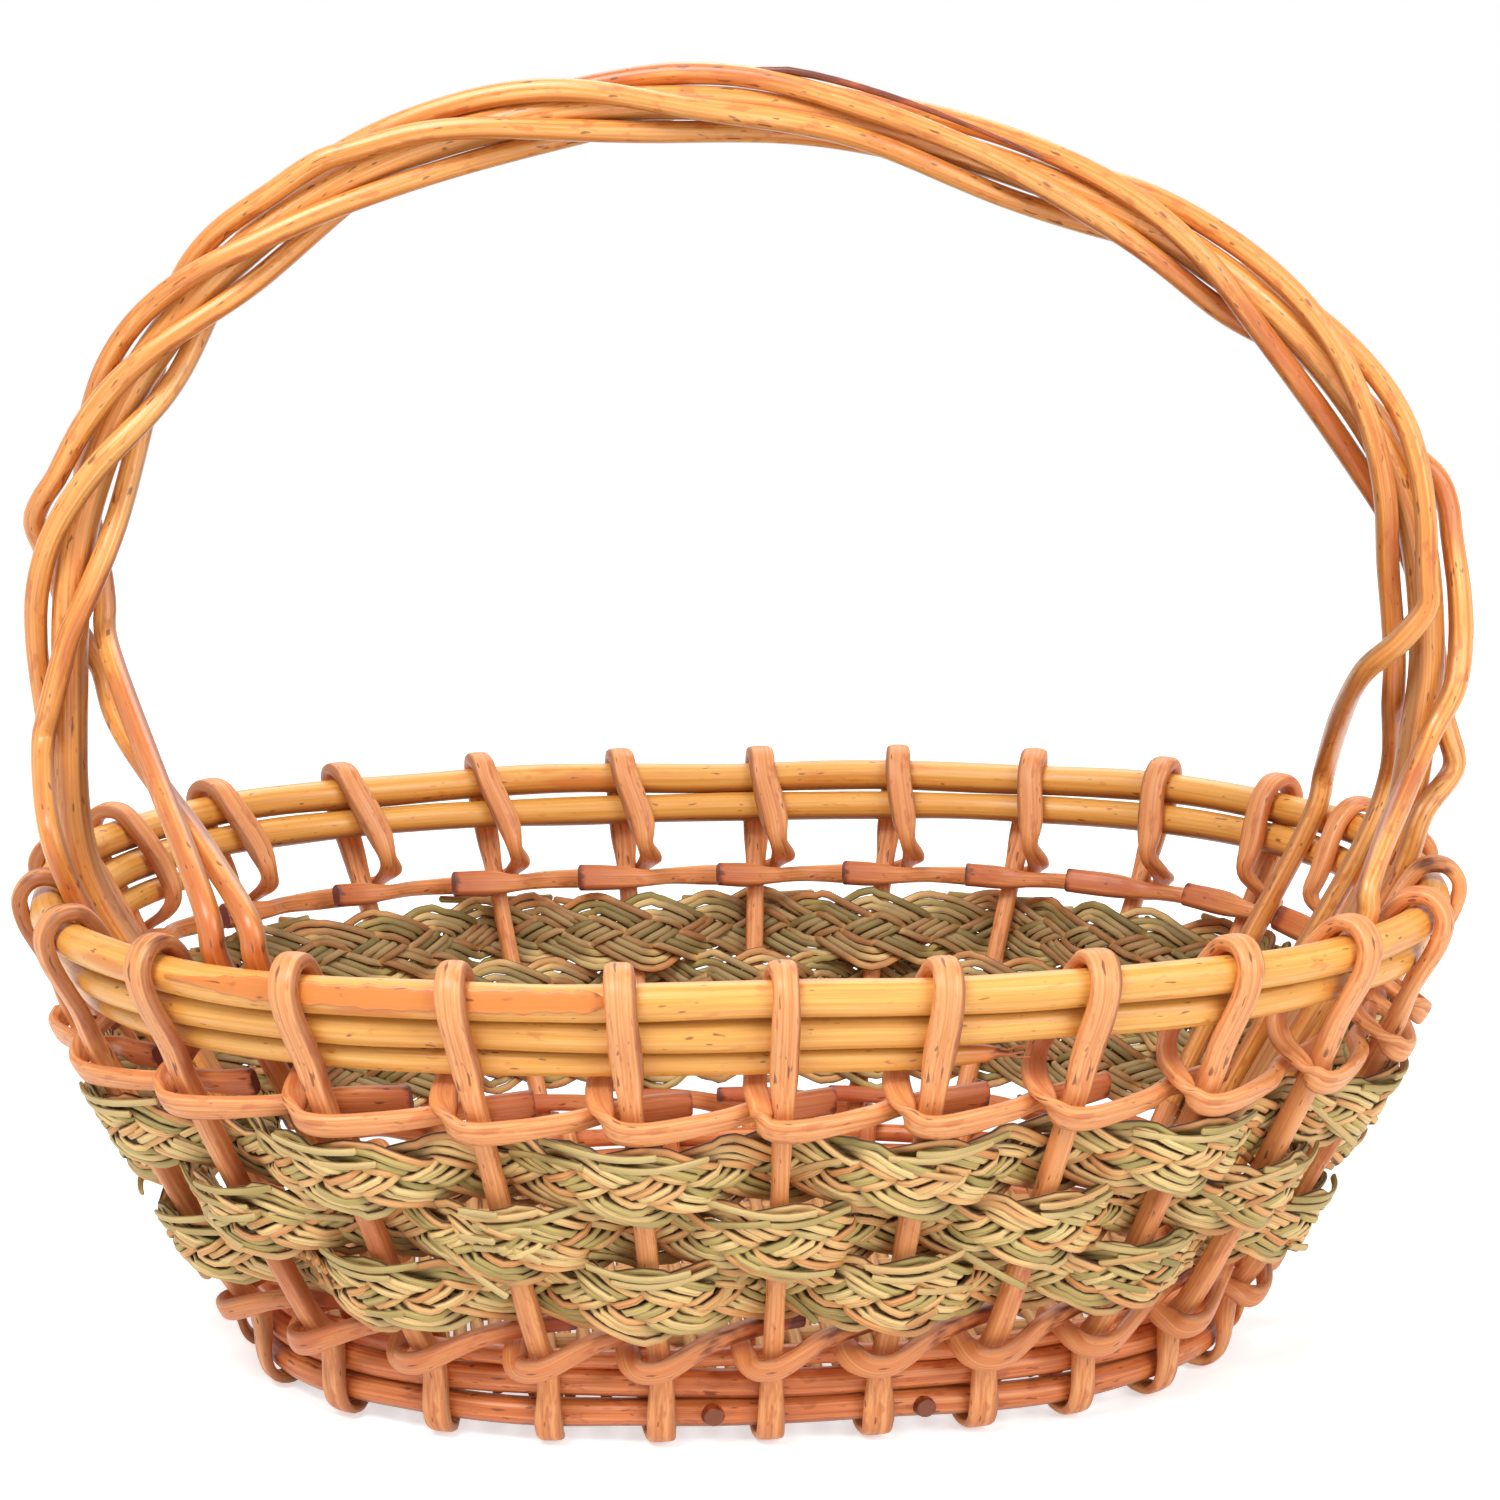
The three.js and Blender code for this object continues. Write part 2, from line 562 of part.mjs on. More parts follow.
function floorWeaverGeometry() {
  const swing = FLOOR_STICK_R + FLOOR_WEAVER_R + GAP;
  const widest = BASE_HALF_LENGTH - floorEdgeOut - FLOOR_WEAVER_PITCH;
  const passes = 2 * Math.floor(widest / FLOOR_WEAVER_PITCH) + 1;
  const passX = (pass) => (pass - (passes - 1) / 2) * FLOOR_WEAVER_PITCH;
  // Two passes that join at one side turn at the same distance from the middle
  const turnReach = (pass, side) => {
    const partner = pass + ((pass % 2 === 0) === side > 0 ? 1 : -1);
    const x = Math.min(Math.max(Math.abs(passX(pass)), Math.abs(passX(partner))), widest);
    return floorReach(x, BASE_HALF_LENGTH, BASE_HALF_WIDTH) - FLOOR_WEAVER_R;
  };
  const points = [];
  for (let pass = 0; pass < passes; pass += 1) {
    const isCrossed = (y) => Math.abs(y) < turnReach(pass, Math.sign(y)) - swing - GAP;
    const crossings = stickY
      .map((y, stick) => [y, (stick + pass) % 2 === 0 ? swing : -swing])
      .filter(([y]) => isCrossed(y));
    const ends = [-1, 1].map((side) => {
      const blocking = stickY.filter((y) => Math.sign(y) === side && !isCrossed(y));
      const reach = Math.min(turnReach(pass, side), ...blocking.map((y) => side * y - swing));
      return [side * reach, 0];
    });
    const stops = [ends[0], ...crossings, ends[1]];
    if (pass % 2 === 1) stops.reverse();
    stops.forEach(([y, lift]) => points.push({
      at: new THREE.Vector3(passX(pass), y, FLOOR_Z + lift),
      wide: FLOOR_WEAVER_R,
      thick: FLOOR_WEAVER_R,
    }));
  }
  return rodGeometry(points, FLOOR_WEAVER_SIDES, 0, new THREE.Vector3(1, 0, 0));
}

// Assembly
const basket = new THREE.Group();
function addPiece(name, geometry, finish) {
  const mesh = new THREE.Mesh(geometry, new THREE.MeshStandardMaterial(COLOURS[finish]));
  mesh.name = name;
  basket.add(mesh);
}

addPiece('rim_hoop_upper', hoopGeometry(rimUpperZ, RIM_UPPER_R, HOOP_SIDES), 'hoop');
addPiece('rim_hoop_lower', hoopGeometry(rimLowerZ, RIM_LOWER_R, HOOP_SIDES), 'hoop');
addPiece('rim_filler_rod', fillerGeometry(), 'hoop');
['base_hoop_bottom', 'base_hoop_middle', 'base_hoop_top'].forEach((name, i) => {
  const radius = i === 2 ? BASE_TOP_HOOP_R : BASE_HOOP_R;
  addPiece(name, hoopGeometry(baseZ[i], radius, BASE_HOOP_SIDES), 'base');
});
for (let i = 0; i < UPRIGHT_COUNT; i += 1) {
  addPiece(`upright_${String(i + 1).padStart(2, '0')}`, uprightGeometry(i), 'upright');
}
['plait_row_lower', 'plait_row_middle', 'plait_row_upper'].forEach((name, row) => {
  addPiece(name, plaitGeometry(row), 'plait');
});
addPiece('handle_core', coreGeometry(), 'handle');
for (let strand = 0; strand < STRAND_COUNT; strand += 1) {
  addPiece(`handle_strand_${strand + 1}`, strandGeometry(strand), 'handle');
}
stickY.forEach((y, i) => addPiece(`floor_stick_${i + 1}`, floorStickGeometry(y), 'floor'));
addPiece('floor_weaver', floorWeaverGeometry(), 'floor');

export default basket;
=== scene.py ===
"""An oval willow flower basket with plaited rush rows and a twisted bow handle.

Sizes are in millimetres in the basket's own frame, and meshes are written in metres.
The wall is mapped by three numbers: a length along the rim from the left end by the
front, a distance out of the hoops' middle, and a height.
"""
import logging
import math
from dataclasses import dataclass
from enum import Enum
from functools import cache, cached_property

import bpy
import numpy as np
from mathutils import Matrix, Vector

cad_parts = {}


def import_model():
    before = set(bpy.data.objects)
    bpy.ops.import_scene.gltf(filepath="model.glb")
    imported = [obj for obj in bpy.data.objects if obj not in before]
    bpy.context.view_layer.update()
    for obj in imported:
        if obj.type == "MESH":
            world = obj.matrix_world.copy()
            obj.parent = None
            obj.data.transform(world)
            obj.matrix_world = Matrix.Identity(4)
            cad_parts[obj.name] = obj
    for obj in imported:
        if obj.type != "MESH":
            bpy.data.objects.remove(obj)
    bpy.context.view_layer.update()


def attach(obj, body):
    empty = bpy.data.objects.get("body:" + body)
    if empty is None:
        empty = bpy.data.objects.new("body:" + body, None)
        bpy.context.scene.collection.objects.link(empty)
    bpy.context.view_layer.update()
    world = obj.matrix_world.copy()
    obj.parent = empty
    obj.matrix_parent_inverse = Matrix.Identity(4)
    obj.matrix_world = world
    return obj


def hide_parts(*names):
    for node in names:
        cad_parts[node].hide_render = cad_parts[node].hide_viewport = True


Tree = bpy.types.NodeTree
Socket = bpy.types.NodeSocket
Material = bpy.types.Material
Array = np.ndarray
Pair = tuple[float, float]

log = logging.getLogger("basket")

MM = 0.001
MATH = "ShaderNodeMath"
VECTOR = "ShaderNodeVectorMath"
COMBINE = "ShaderNodeCombineXYZ"
SEPARATE = "ShaderNodeSeparateXYZ"
MAP_RANGE = "ShaderNodeMapRange"
SOFT = {"interpolation_type": "SMOOTHSTEP"}
FRAME_PIXELS = 1500
HALF_TURN = math.sqrt(0.5)
UP = np.array([0.0, 0.0, 1.0])
TO_FRONT = np.array([0.0, -1.0, 0.0])


class Slot(Enum):
    """The record's material slots."""

    RIM = "rim_willow"
    BASE = "base_willow"
    UPRIGHT = "upright_willow"
    PLAIT = "plait_rush"
    HANDLE = "handle_willow"
    FLOOR = "floor_willow"


class Side(Enum):
    """Which side of an upright a plait passes."""

    INSIDE = -1
    OUTSIDE = 1


@dataclass(frozen=True)
class BasketSizes:
    """The basket's driving sizes and the levels stacked from them."""

    rim_half_length: float = 200.0
    rim_half_width: float = 143.0
    base_half_length: float = 143.0
    base_half_width: float = 102.0
    squareness: float = 2.55

    rim_upper_r: float = 5.0
    rim_lower_r: float = 4.7
    rim_filler_r: float = 3.7
    base_hoop_r: float = 4.0
    base_top_hoop_r: float = 2.8
    upright_r: float = 3.3
    tail_r: float = 2.9
    band_half_width: float = 4.4
    band_half_thick: float = 2.4
    under_half_thick: float = 2.2
    plait_lobe: float = 12.5
    plait_neck: float = 9.1
    plait_half_thick: float = 3.0
    gap: float = 0.4

    upright_count: int = 26
    row_count: int = 3
    first_place: float = 11.8
    spacing_ease: float = 13.2
    closest_upright: int = 9
    upright_facets: int = 5

    @property
    def under_z(self) -> float:
        """Height of an upright's middle where it passes under the base."""
        return self.under_half_thick * math.cos(math.pi / self.upright_facets)

    @property
    def base_z(self) -> tuple[float, float, float]:
        """Heights of the three base hoops."""
        bottom = self.under_z + self.under_half_thick + self.gap + self.base_hoop_r
        middle = bottom + 2 * self.base_hoop_r + self.gap
        return bottom, middle, middle + self.base_hoop_r + self.base_top_hoop_r + self.gap

    @property
    def tail_step(self) -> float:
        """Height from one tail to the next."""
        return 2 * self.tail_r + self.gap

    @property
    def lower_turn_z(self) -> float:
        """Height where a foot's tail comes out over the base hoops."""
        return self.base_z[2] + self.base_top_hoop_r + self.gap + self.tail_r

    @property
    def lower_tail_z(self) -> float:
        """Height of the locked tails above the base."""
        return self.lower_turn_z + self.tail_step

    @property
    def base_half(self) -> Array:
        """Half length and half width of the base."""
        return np.array([self.base_half_length, self.base_half_width])

    @property
    def rim_half(self) -> Array:
        """Half length and half width of the rim."""
        return np.array([self.rim_half_length, self.rim_half_width])

    @property
    def row_z(self) -> list[float]:
        """Heights of the plaited rows, lowest first."""
        lowest = self.lower_tail_z + self.tail_r + self.gap + self.plait_lobe
        step = 2 * self.plait_neck + self.gap
        return [lowest + row * step for row in range(self.row_count)]

    @property
    def upper_tail_z(self) -> float:
        """Height of the locked tails under the rim."""
        return self.row_z[-1] + self.plait_lobe + self.gap + self.tail_r

    @property
    def upper_turn_z(self) -> float:
        """Height where a head's tail comes out under the rim hoops."""
        return self.upper_tail_z + self.tail_step

    @property
    def filler_z(self) -> float:
        """Height of the short third rim rod."""
        return self.upper_turn_z + self.tail_r + self.gap + self.rim_filler_r

    @property
    def stack_lean(self) -> float:
        """Share of their thickness by which hoops stack along the leaning wall."""
        plumb = (self.rim_filler_r + 2 * self.rim_lower_r + self.rim_upper_r
                 + 2 * self.gap)
        spread = min(self.rim_half - self.base_half)
        return math.cos(math.atan(spread / (self.filler_z + plumb - self.base_z[2])))

    @property
    def rim_lower_z(self) -> float:
        """Height of the second rim hoop."""
        step = self.rim_filler_r + self.rim_lower_r + self.gap
        return self.filler_z + step * self.stack_lean

    @property
    def rim_upper_z(self) -> float:
        """Height of the top rim hoop."""
        step = self.rim_lower_r + self.rim_upper_r + self.gap
        return self.rim_lower_z + step * self.stack_lean

    @property
    def leg_out(self) -> float:
        """How far an upright's leg stands out of the hoops' middle."""
        return self.rim_upper_r + self.gap + self.upright_r

    @property
    def band_out(self) -> float:
        """How far the flattened band stands out of the top hoop's middle."""
        return self.rim_upper_r + self.gap + self.band_half_thick

    @property
    def under_out(self) -> float:
        """How far the flattened foot stands out of the bottom hoop's middle."""
        return self.base_hoop_r + self.gap + self.under_half_thick

    @property
    def cross_out(self) -> float:
        """How far a tail stands out where it crosses its own leg."""
        return self.leg_out + self.upright_r + self.gap + self.tail_r

    @property
    def behind_out(self) -> float:
        """How far a tail stands out where it passes behind the next leg."""
        return self.leg_out - self.upright_r - self.gap - self.tail_r

    @property
    def plait_swing(self) -> float:
        """How far a plait swings in and out of the legs' middle."""
        return self.upright_r + self.gap + self.plait_half_thick


def signed_power(value: Array, power: float) -> Array:
    """Raises the size of a number to a power and keeps its sign."""
    return np.sign(value) * np.abs(value) ** power


@dataclass(frozen=True)
class OvalWall:
    """The basket's leaning oval wall."""

    sizes: BasketSizes
    table_steps: int = 2880

    @cached_property
    def angles(self) -> Array:
        """A fine row of angles, 0 at the left end, turning by the front."""
        return np.linspace(0, 2 * math.pi, self.table_steps + 1)

    @cached_property
    def lengths(self) -> Array:
        """Length along the rim hoop at each angle."""
        steps = np.diff(self.unit_point(self.angles) * self.sizes.rim_half, axis=0)
        return np.concatenate([[0.0], np.cumsum(np.hypot(steps[:, 0], steps[:, 1]))])

    @property
    def rim_length(self) -> float:
        """The rim hoop's whole length."""
        return float(self.lengths[-1])

    @cached_property
    def rise(self) -> float:
        """Height from the top base hoop to the top rim hoop."""
        return self.sizes.rim_upper_z - self.sizes.base_z[2]

    @property
    def pitch(self) -> float:
        """Mean length along the rim from one upright to the next."""
        return self.rim_length / self.sizes.upright_count

    def unit_point(self, angle: Array) -> Array:
        """Finds the unit oval's points at some angles.

        Args:
            angle: Angles in radians.

        Returns:
            Two columns, x and y.
        """
        power = 2 / self.sizes.squareness
        x = -signed_power(np.cos(angle), power)
        y = -signed_power(np.sin(angle), power)
        return np.stack([x, y], axis=-1)

    def unit_at(self, place: Array) -> Array:
        """The unit oval's points at lengths along the rim."""
        wrapped = np.mod(place, self.rim_length)
        return self.unit_point(np.interp(wrapped, self.lengths, self.angles))

    def half_sizes(self, z: float | Array) -> Array:
        """Finds the oval's size at some heights.

        Args:
            z: The heights.

        Returns:
            Half length and half width at each.
        """
        base, rim = self.sizes.base_half, self.sizes.rim_half
        share = np.maximum(0, (np.asarray(z, float) - self.sizes.base_z[2]) / self.rise)
        return base + share[..., None] * (rim - base)

    def axes(self, place: Array, z: float | Array) -> tuple[Array, ...]:
        """Finds the wall's own directions.

        Args:
            place: Lengths along the rim.
            z: Heights, one for all or one for each place.

        Returns:
            Unit vectors along the rim, out of the wall and up the wall.
        """
        sizes = self.sizes
        place, z = np.broadcast_arrays(np.asarray(place, float), np.asarray(z, float))
        unit = self.unit_at(place)
        flat = signed_power(unit, sizes.squareness - 1) / self.half_sizes(z)
        flat /= np.linalg.norm(flat, axis=-1, keepdims=True)
        spread = sizes.rim_half - sizes.base_half
        lean = np.arctan(np.sum(spread * unit * flat, axis=-1) / self.rise)
        lean = lean * np.clip((z - sizes.base_z[2]) / sizes.tail_step, 0, 1)
        out = np.stack([
            flat[..., 0] * np.cos(lean), flat[..., 1] * np.cos(lean), -np.sin(lean),
        ], axis=-1)
        along = np.stack([-flat[..., 1], flat[..., 0], np.zeros_like(lean)], axis=-1)
        return along, out, -np.cross(along, out)

    def point(self, place: Array, out: float | Array, z: float | Array) -> Array:
        """Finds points of the wall.

        Args:
            place: Lengths along the rim.
            out: Distances out of the hoops' middle.
            z: Heights.

        Returns:
            Points in millimetres, one row each.
        """
        place, out, z = np.broadcast_arrays(
            np.asarray(place, float), np.asarray(out, float), np.asarray(z, float))
        middle = self.unit_at(place) * self.half_sizes(z)
        points = np.concatenate([middle, z[..., None]], axis=-1)
        return points + self.axes(place, z)[1] * out[..., None]

    def upright_place(self, index: float | Array) -> float | Array:
        """Finds an upright, or a place between two.

        Args:
            index: Its number, from 0 at the left end by the front.

        Returns:
            The length along the rim.
        """
        sizes = self.sizes
        turn = 2 * np.pi * (index - sizes.closest_upright) / sizes.upright_count
        even = self.rim_length * index / sizes.upright_count
        return sizes.first_place + even - sizes.spacing_ease * np.sin(turn)

    def index_at(self, place: float) -> float:
        """Counts a length along the rim in uprights from the first."""
        index = np.linspace(0, self.sizes.upright_count, 1001)
        return float(np.interp(place, self.upright_place(index), index))

    def front_place(self, x: float, z: float) -> float:
        """Finds a point of the front wall.

        Args:
            x: How far to the right it is.
            z: Its height.

        Returns:
            The length along the rim.
        """
        front = self.angles <= math.pi
        unit_x = self.unit_point(self.angles[front])[:, 0]
        half = self.half_sizes(z)[0]
        return float(np.interp(x / half, unit_x, self.lengths[front]))


def unit_rows(vectors: Array) -> Array:
    """Vectors brought to length one."""
    return vectors / np.linalg.norm(vectors, axis=-1, keepdims=True)


class SmoothLine:
    """A centripetal Catmull-Rom curve through stops.

    The first three columns of a stop are its place, and any more ride along with it.
    """

    SPAN_STEPS = 24

    def __init__(self, stops: Array) -> None:
        """Builds the curve's fine table.

        Args:
            stops: One row for each stop.
        """
        stops = np.asarray(stops, float)
        first, last = 2 * stops[0] - stops[1], 2 * stops[-1] - stops[-2]
        padded = np.vstack([first, stops, last])
        spans = [self.span(*padded[i:i + 4]) for i in range(len(stops) - 1)]
        self.table = np.vstack([*spans, stops[-1:]])
        steps = np.linalg.norm(np.diff(self.table[:, :3], axis=0), axis=1)
        self.run = np.concatenate([[0.0], np.cumsum(steps)])

    def span(self, p0: Array, p1: Array, p2: Array, p3: Array) -> Array:
        """Fine rows from one stop up to the next.

        Args:
            p0: The stop before.
            p1: Where the span starts.
            p2: Where the span ends, which is left out.
            p3: The stop after.

        Returns:
            The rows.
        """
        d0, d1, d2 = (
            max(math.sqrt(np.linalg.norm((b - a)[:3])), 1e-4)
            for a, b in ((p0, p1), (p1, p2), (p2, p3))
        )
        leave = ((p1 - p0) / d0 - (p2 - p0) / (d0 + d1) + (p2 - p1) / d1) * d1
        arrive = ((p2 - p1) / d1 - (p3 - p1) / (d1 + d2) + (p3 - p2) / d2) * d1
        t = (np.arange(self.SPAN_STEPS) / self.SPAN_STEPS)[:, None]
        return (
            (2 * t**3 - 3 * t**2 + 1) * p1 + (t**3 - 2 * t**2 + t) * leave
            + (3 * t**2 - 2 * t**3) * p2 + (t**3 - t**2) * arrive
        )

    @property
    def length(self) -> float:
        """The curve's whole length."""
        return float(self.run[-1])

    def at(self, share: Array) -> Array:
        """Finds rows of the curve.

        Args:
            share: Shares of the curve's length.

        Returns:
            One row for each share.
        """
        run = np.clip(np.asarray(share, float), 0, 1) * self.length
        columns = [np.interp(run, self.run, column) for column in self.table.T]
        return np.stack(columns, axis=-1)

    def tangent(self, share: Array) -> Array:
        """Finds directions of the curve.

        Args:
            share: Shares of the curve's length.

        Returns:
            One unit vector for each share.
        """
        small = 0.5 / self.length
        share = np.asarray(share, float)
        return unit_rows((self.at(share + small) - self.at(share - small))[..., :3])

    def spaced(self, step: float) -> Array:
        """Evenly spaced rows, about a step apart."""
        count = max(2, round(self.length / step) + 1)
        return self.at(np.linspace(0, 1, count))


def wander(share: Array, rng: np.random.Generator, size: float,
           waves: tuple[int, ...]) -> Array:
    """Makes a gentle swing that meets itself at the ends of a hoop.

    Args:
        share: Shares of the rod's length.
        rng: The piece's own random numbers.
        size: Usual size of the swing.
        waves: How many waves there are in the whole length, several for a mixed swing.

    Returns:
        The swing at each share.
    """
    total = np.zeros_like(share)
    for wave in waves:
        total += rng.normal() * np.sin(2 * np.pi * (wave * share + rng.random()))
    return size * total / math.sqrt(len(waves))


@dataclass
class Rod:
    """One rod: its centre line, its section and where its flat side looks."""

    points: Array
    half_wide: float | Array
    half_thick: float | Array
    face: Array
    closed: bool = False
    tone: float = 0.5
    flush: float | Array = 0.0
    bark: float | Array = 0.0

    CUT_BEVEL = 0.5
    CUT_STEP = 0.04
    CUT_SIZE = 0.94

    def arrays(self) -> dict[str, Array]:
        """Rings with sharp cut ends.

        Returns:
            The guide's columns by name, in millimetres.
        """
        count = len(self.points)
        columns = {"points": np.asarray(self.points, float),
                   "face": np.broadcast_to(self.face, (count, 3)).astype(float),
                   "cut": np.zeros(count)}
        for name in ("half_wide", "half_thick", "tone", "flush", "bark"):
            columns[name] = np.broadcast_to(getattr(self, name), count).astype(float)
        if self.closed:
            return columns
        for end, inner in ((0, 1), (-1, -2)):
            columns = self.with_cut_end(columns, end, inner)
        return columns

    def with_cut_end(self, columns: dict[str, Array], end: int,
                     inner: int) -> dict[str, Array]:
        """Adds a small bevel and a cut face to one end.

        Args:
            columns: The guide's columns.
            end: Number of the end's ring.
            inner: Number of the ring next to it.

        Returns:
            The columns with two more rings.
        """
        step = unit_rows(columns["points"][end] - columns["points"][inner])
        size = min(columns["half_wide"][end], columns["half_thick"][end])
        loss = self.CUT_BEVEL / (2 * size)
        rings = [(self.CUT_BEVEL, 1 - loss, 0.0),
                 (self.CUT_BEVEL + self.CUT_STEP, self.CUT_SIZE - loss, 1.0)]
        made = dict(columns)
        for run, scale, cut in rings:
            row = {name: column[end] for name, column in columns.items()}
            row["points"] = row["points"] + step * run
            row["half_wide"] = row["half_wide"] * scale
            row["half_thick"] = row["half_thick"] * scale
            row["cut"] = cut
            for name, value in row.items():
                rows = np.asarray(value)[None]
                parts = [rows, made[name]] if end == 0 else [made[name], rows]
                made[name] = np.concatenate(parts)
        return made


def add_node(tree: Tree, kind: str, settings: dict | None = None,
             feeds: dict | None = None) -> bpy.types.Node:
    """Adds a node with its settings and links.

    Args:
        tree: The shader or geometry tree.
        kind: The node's type.
        settings: The node's own properties, by name.
        feeds: A socket to link or a value to set for each input, by name or number.

    Returns:
        The new node.
    """
    node = tree.nodes.new(kind)
    for name, value in (settings or {}).items():
        setattr(node, name, value)
    for key, feed in (feeds or {}).items():
        if isinstance(key, int):
            socket = node.inputs[key]
        else:
            socket = next(s for s in node.inputs if s.name == key and s.enabled)
        if isinstance(feed, Socket):
            tree.links.new(feed, socket)
        else:
            socket.default_value = feed
    return node


@dataclass
class Graph:
    """A node tree, and the sockets that have a name so far."""

    tree: Tree
    known: dict[str, Socket]

    def add(self, *steps: tuple) -> None:
        """Adds nodes that can each take the results of those before.

        Args:
            *steps: Name of the result, or names of several; node type; operation,
                settings or None; and the inputs, in their order or as one dict. An
                input is a known name, a value, or None if it is left alone.
        """
        for names, kind, settings, *inputs in steps:
            if not (inputs and isinstance(inputs[0], dict)):
                inputs = [dict(enumerate(inputs))]
            feeds = {key: self.known[feed] if isinstance(feed, str) else feed
                     for key, feed in inputs[0].items() if feed is not None}
            if isinstance(settings, str):
                settings = {"operation": settings}
            node = add_node(self.tree, kind, settings, feeds)
            outputs = [socket for socket in node.outputs if socket.enabled]
            self.known.update(zip([names] if isinstance(names, str) else names, outputs))

    def capture(self, kind: str, *names: str) -> None:
        """Captures known values on a known geometry.

        Args:
            kind: The values' type.
            *names: Name of the geometry, then of each value.
        """
        node = add_node(self.tree, "GeometryNodeCaptureAttribute")
        for name in names[1:]:
            node.capture_items.new(kind, name)
        for name, socket in zip(names, node.inputs):
            self.tree.links.new(self.known[name], socket)
        self.known.update(zip(names, node.outputs))

    def store(self, kind: str, **values: str) -> None:
        """Stores known values as attributes on the points of the geometry.

        Args:
            kind: The attributes' type.
            **values: Name of the value that each attribute takes.
        """
        for name, value in values.items():
            self.known["Geometry"] = add_node(
                self.tree, "GeometryNodeStoreNamedAttribute",
                {"data_type": kind, "domain": "POINT"},
                {"Geometry": self.known["Geometry"], "Name": name,
                 "Value": self.known[value]}).outputs[0]

    def end(self, kind: str, socket: str, name: str) -> None:
        """Adds the output node, which gives out a known socket."""
        add_node(self.tree, kind, None, {socket: self.known[name]})

    def end_geometry(self) -> Tree:
        """Makes the geometry single, dresses it and gives it out.

        Returns:
            The finished tree.
        """
        self.add(("Geometry", "GeometryNodeRealizeInstances", None, "Geometry"),
                 ("Geometry", "GeometryNodeSetMaterial", None,
                  {"Geometry": "Geometry", "Material": "Material"}))
        self.end("NodeGroupOutput", "Geometry", "Geometry")
        return self.tree

    def end_curves(self) -> Tree:
        """Gives the geometry, which is curves, its skin and ends the tree.

        Returns:
            The finished tree.
        """
        self.known["Geometry"] = add_node(
            self.tree, "GeometryNodeGroup", {"node_tree": sweep_tree()},
            {label: self.known[label] for label in ("Geometry", *SWEEP_SOCKETS)}).outputs[0]
        return self.end_geometry()


def start_tree(name: str, sockets: dict[str, str], **attributes: str) -> Graph:
    """Starts a geometry tree that takes and gives a geometry.

    Args:
        name: The tree's name.
        sockets: Type of each further input, by name.
        **attributes: Type of each attribute that the tree reads, by name.

    Returns:
        The tree, with its inputs and attributes.
    """
    tree = bpy.data.node_groups.new(name, "GeometryNodeTree")
    tree.interface.new_socket("Geometry", in_out="INPUT", socket_type="NodeSocketGeometry")
    for label, kind in sockets.items():
        tree.interface.new_socket(label, in_out="INPUT", socket_type=f"NodeSocket{kind}")
    tree.interface.new_socket("Geometry", in_out="OUTPUT", socket_type="NodeSocketGeometry")
    known = {s.name: s for s in tree.nodes.new("NodeGroupInput").outputs if s.name}
    for key, kind in attributes.items():
        known[key] = add_node(tree, "GeometryNodeInputNamedAttribute", {"data_type": kind},
                              {"Name": key}).outputs["Attribute"]
    return Graph(tree, known)


SWEEP_SOCKETS = {"Sides": "Int", "Roundness": "Float", "Material": "Material"}


@cache
def sweep_tree() -> Tree:
    """Builds the tree that gives curves their skin.

    A curve's points carry half_wide, half_thick, face and along, and may carry tone,
    flush, bark, cut and level for the finish. The skin carries grain, which runs in
    millimetres along the rod and across its section.

    Returns:
        The geometry tree.
    """
    graph = start_tree("Rod skin", SWEEP_SOCKETS, half_wide="FLOAT",
                       half_thick="FLOAT", face="FLOAT_VECTOR", along="FLOAT")
    graph.add(
        ("tangent", "GeometryNodeInputTangent", None),
        ("across", VECTOR, "CROSS_PRODUCT", "face", "tangent"),
        ("side", VECTOR, "NORMALIZE", "across"),
        ("front", VECTOR, "CROSS_PRODUCT", "tangent", "side"),
        ("middle", "GeometryNodeInputPosition", None))
    graph.capture("VECTOR", "Geometry", "side", "front", "middle")
    # The section is a circle whose sides are raised to a power, for square shoulders
    graph.add(
        ("section", "GeometryNodeCurvePrimitiveCircle", None,
         {"Resolution": "Sides", "Radius": 1.0}),
        ("position", "GeometryNodeInputPosition", None),
        ("size", VECTOR, "ABSOLUTE", "position"),
        ("sign", VECTOR, "SIGN", "position"),
        ("power", COMBINE, None, "Roundness", "Roundness", 1.0),
        ("raised", VECTOR, "POWER", "size", "power"),
        ("ring", VECTOR, "MULTIPLY", "raised", "sign"))
    graph.capture("VECTOR", "section", "ring")
    graph.add(
        ("Geometry", "GeometryNodeCurveToMesh", None,
         {"Curve": "Geometry", "Profile Curve": "section", "Fill Caps": True}),
        (("x", "y"), SEPARATE, None, "ring"),
        ("wide", MATH, "MULTIPLY", "x", "half_wide"),
        ("thick", MATH, "MULTIPLY", "y", "half_thick"),
        ("sideways", VECTOR, "SCALE", "side", None, None, "wide"),
        ("thick vector", COMBINE, None, "thick", "thick", "thick"),
        ("outwards", VECTOR, "MULTIPLY_ADD", "front", "thick vector", "sideways"),
        ("place", VECTOR, "ADD", "middle", "outwards"),
        ("offsets", COMBINE, None, "along", "wide", "thick"),
        ("grain", VECTOR, "SCALE", "offsets", None, None, 1 / MM),
        ("Geometry", "GeometryNodeSetPosition", None,
         {"Geometry": "Geometry", "Position": "place"}))
    graph.store("FLOAT_VECTOR", grain="grain")
    graph.add(("Geometry", "GeometryNodeSetShadeSmooth", None, "Geometry"))
    return graph.end_geometry()


@cache
def rod_tree() -> Tree:
    """Builds the tree that makes rods from guide lines.

    Returns:
        The geometry tree.
    """
    graph = start_tree("Rods along guides", SWEEP_SOCKETS)
    graph.add(("Geometry", "GeometryNodeMeshToCurve", None, "Geometry"))
    return graph.end_curves()


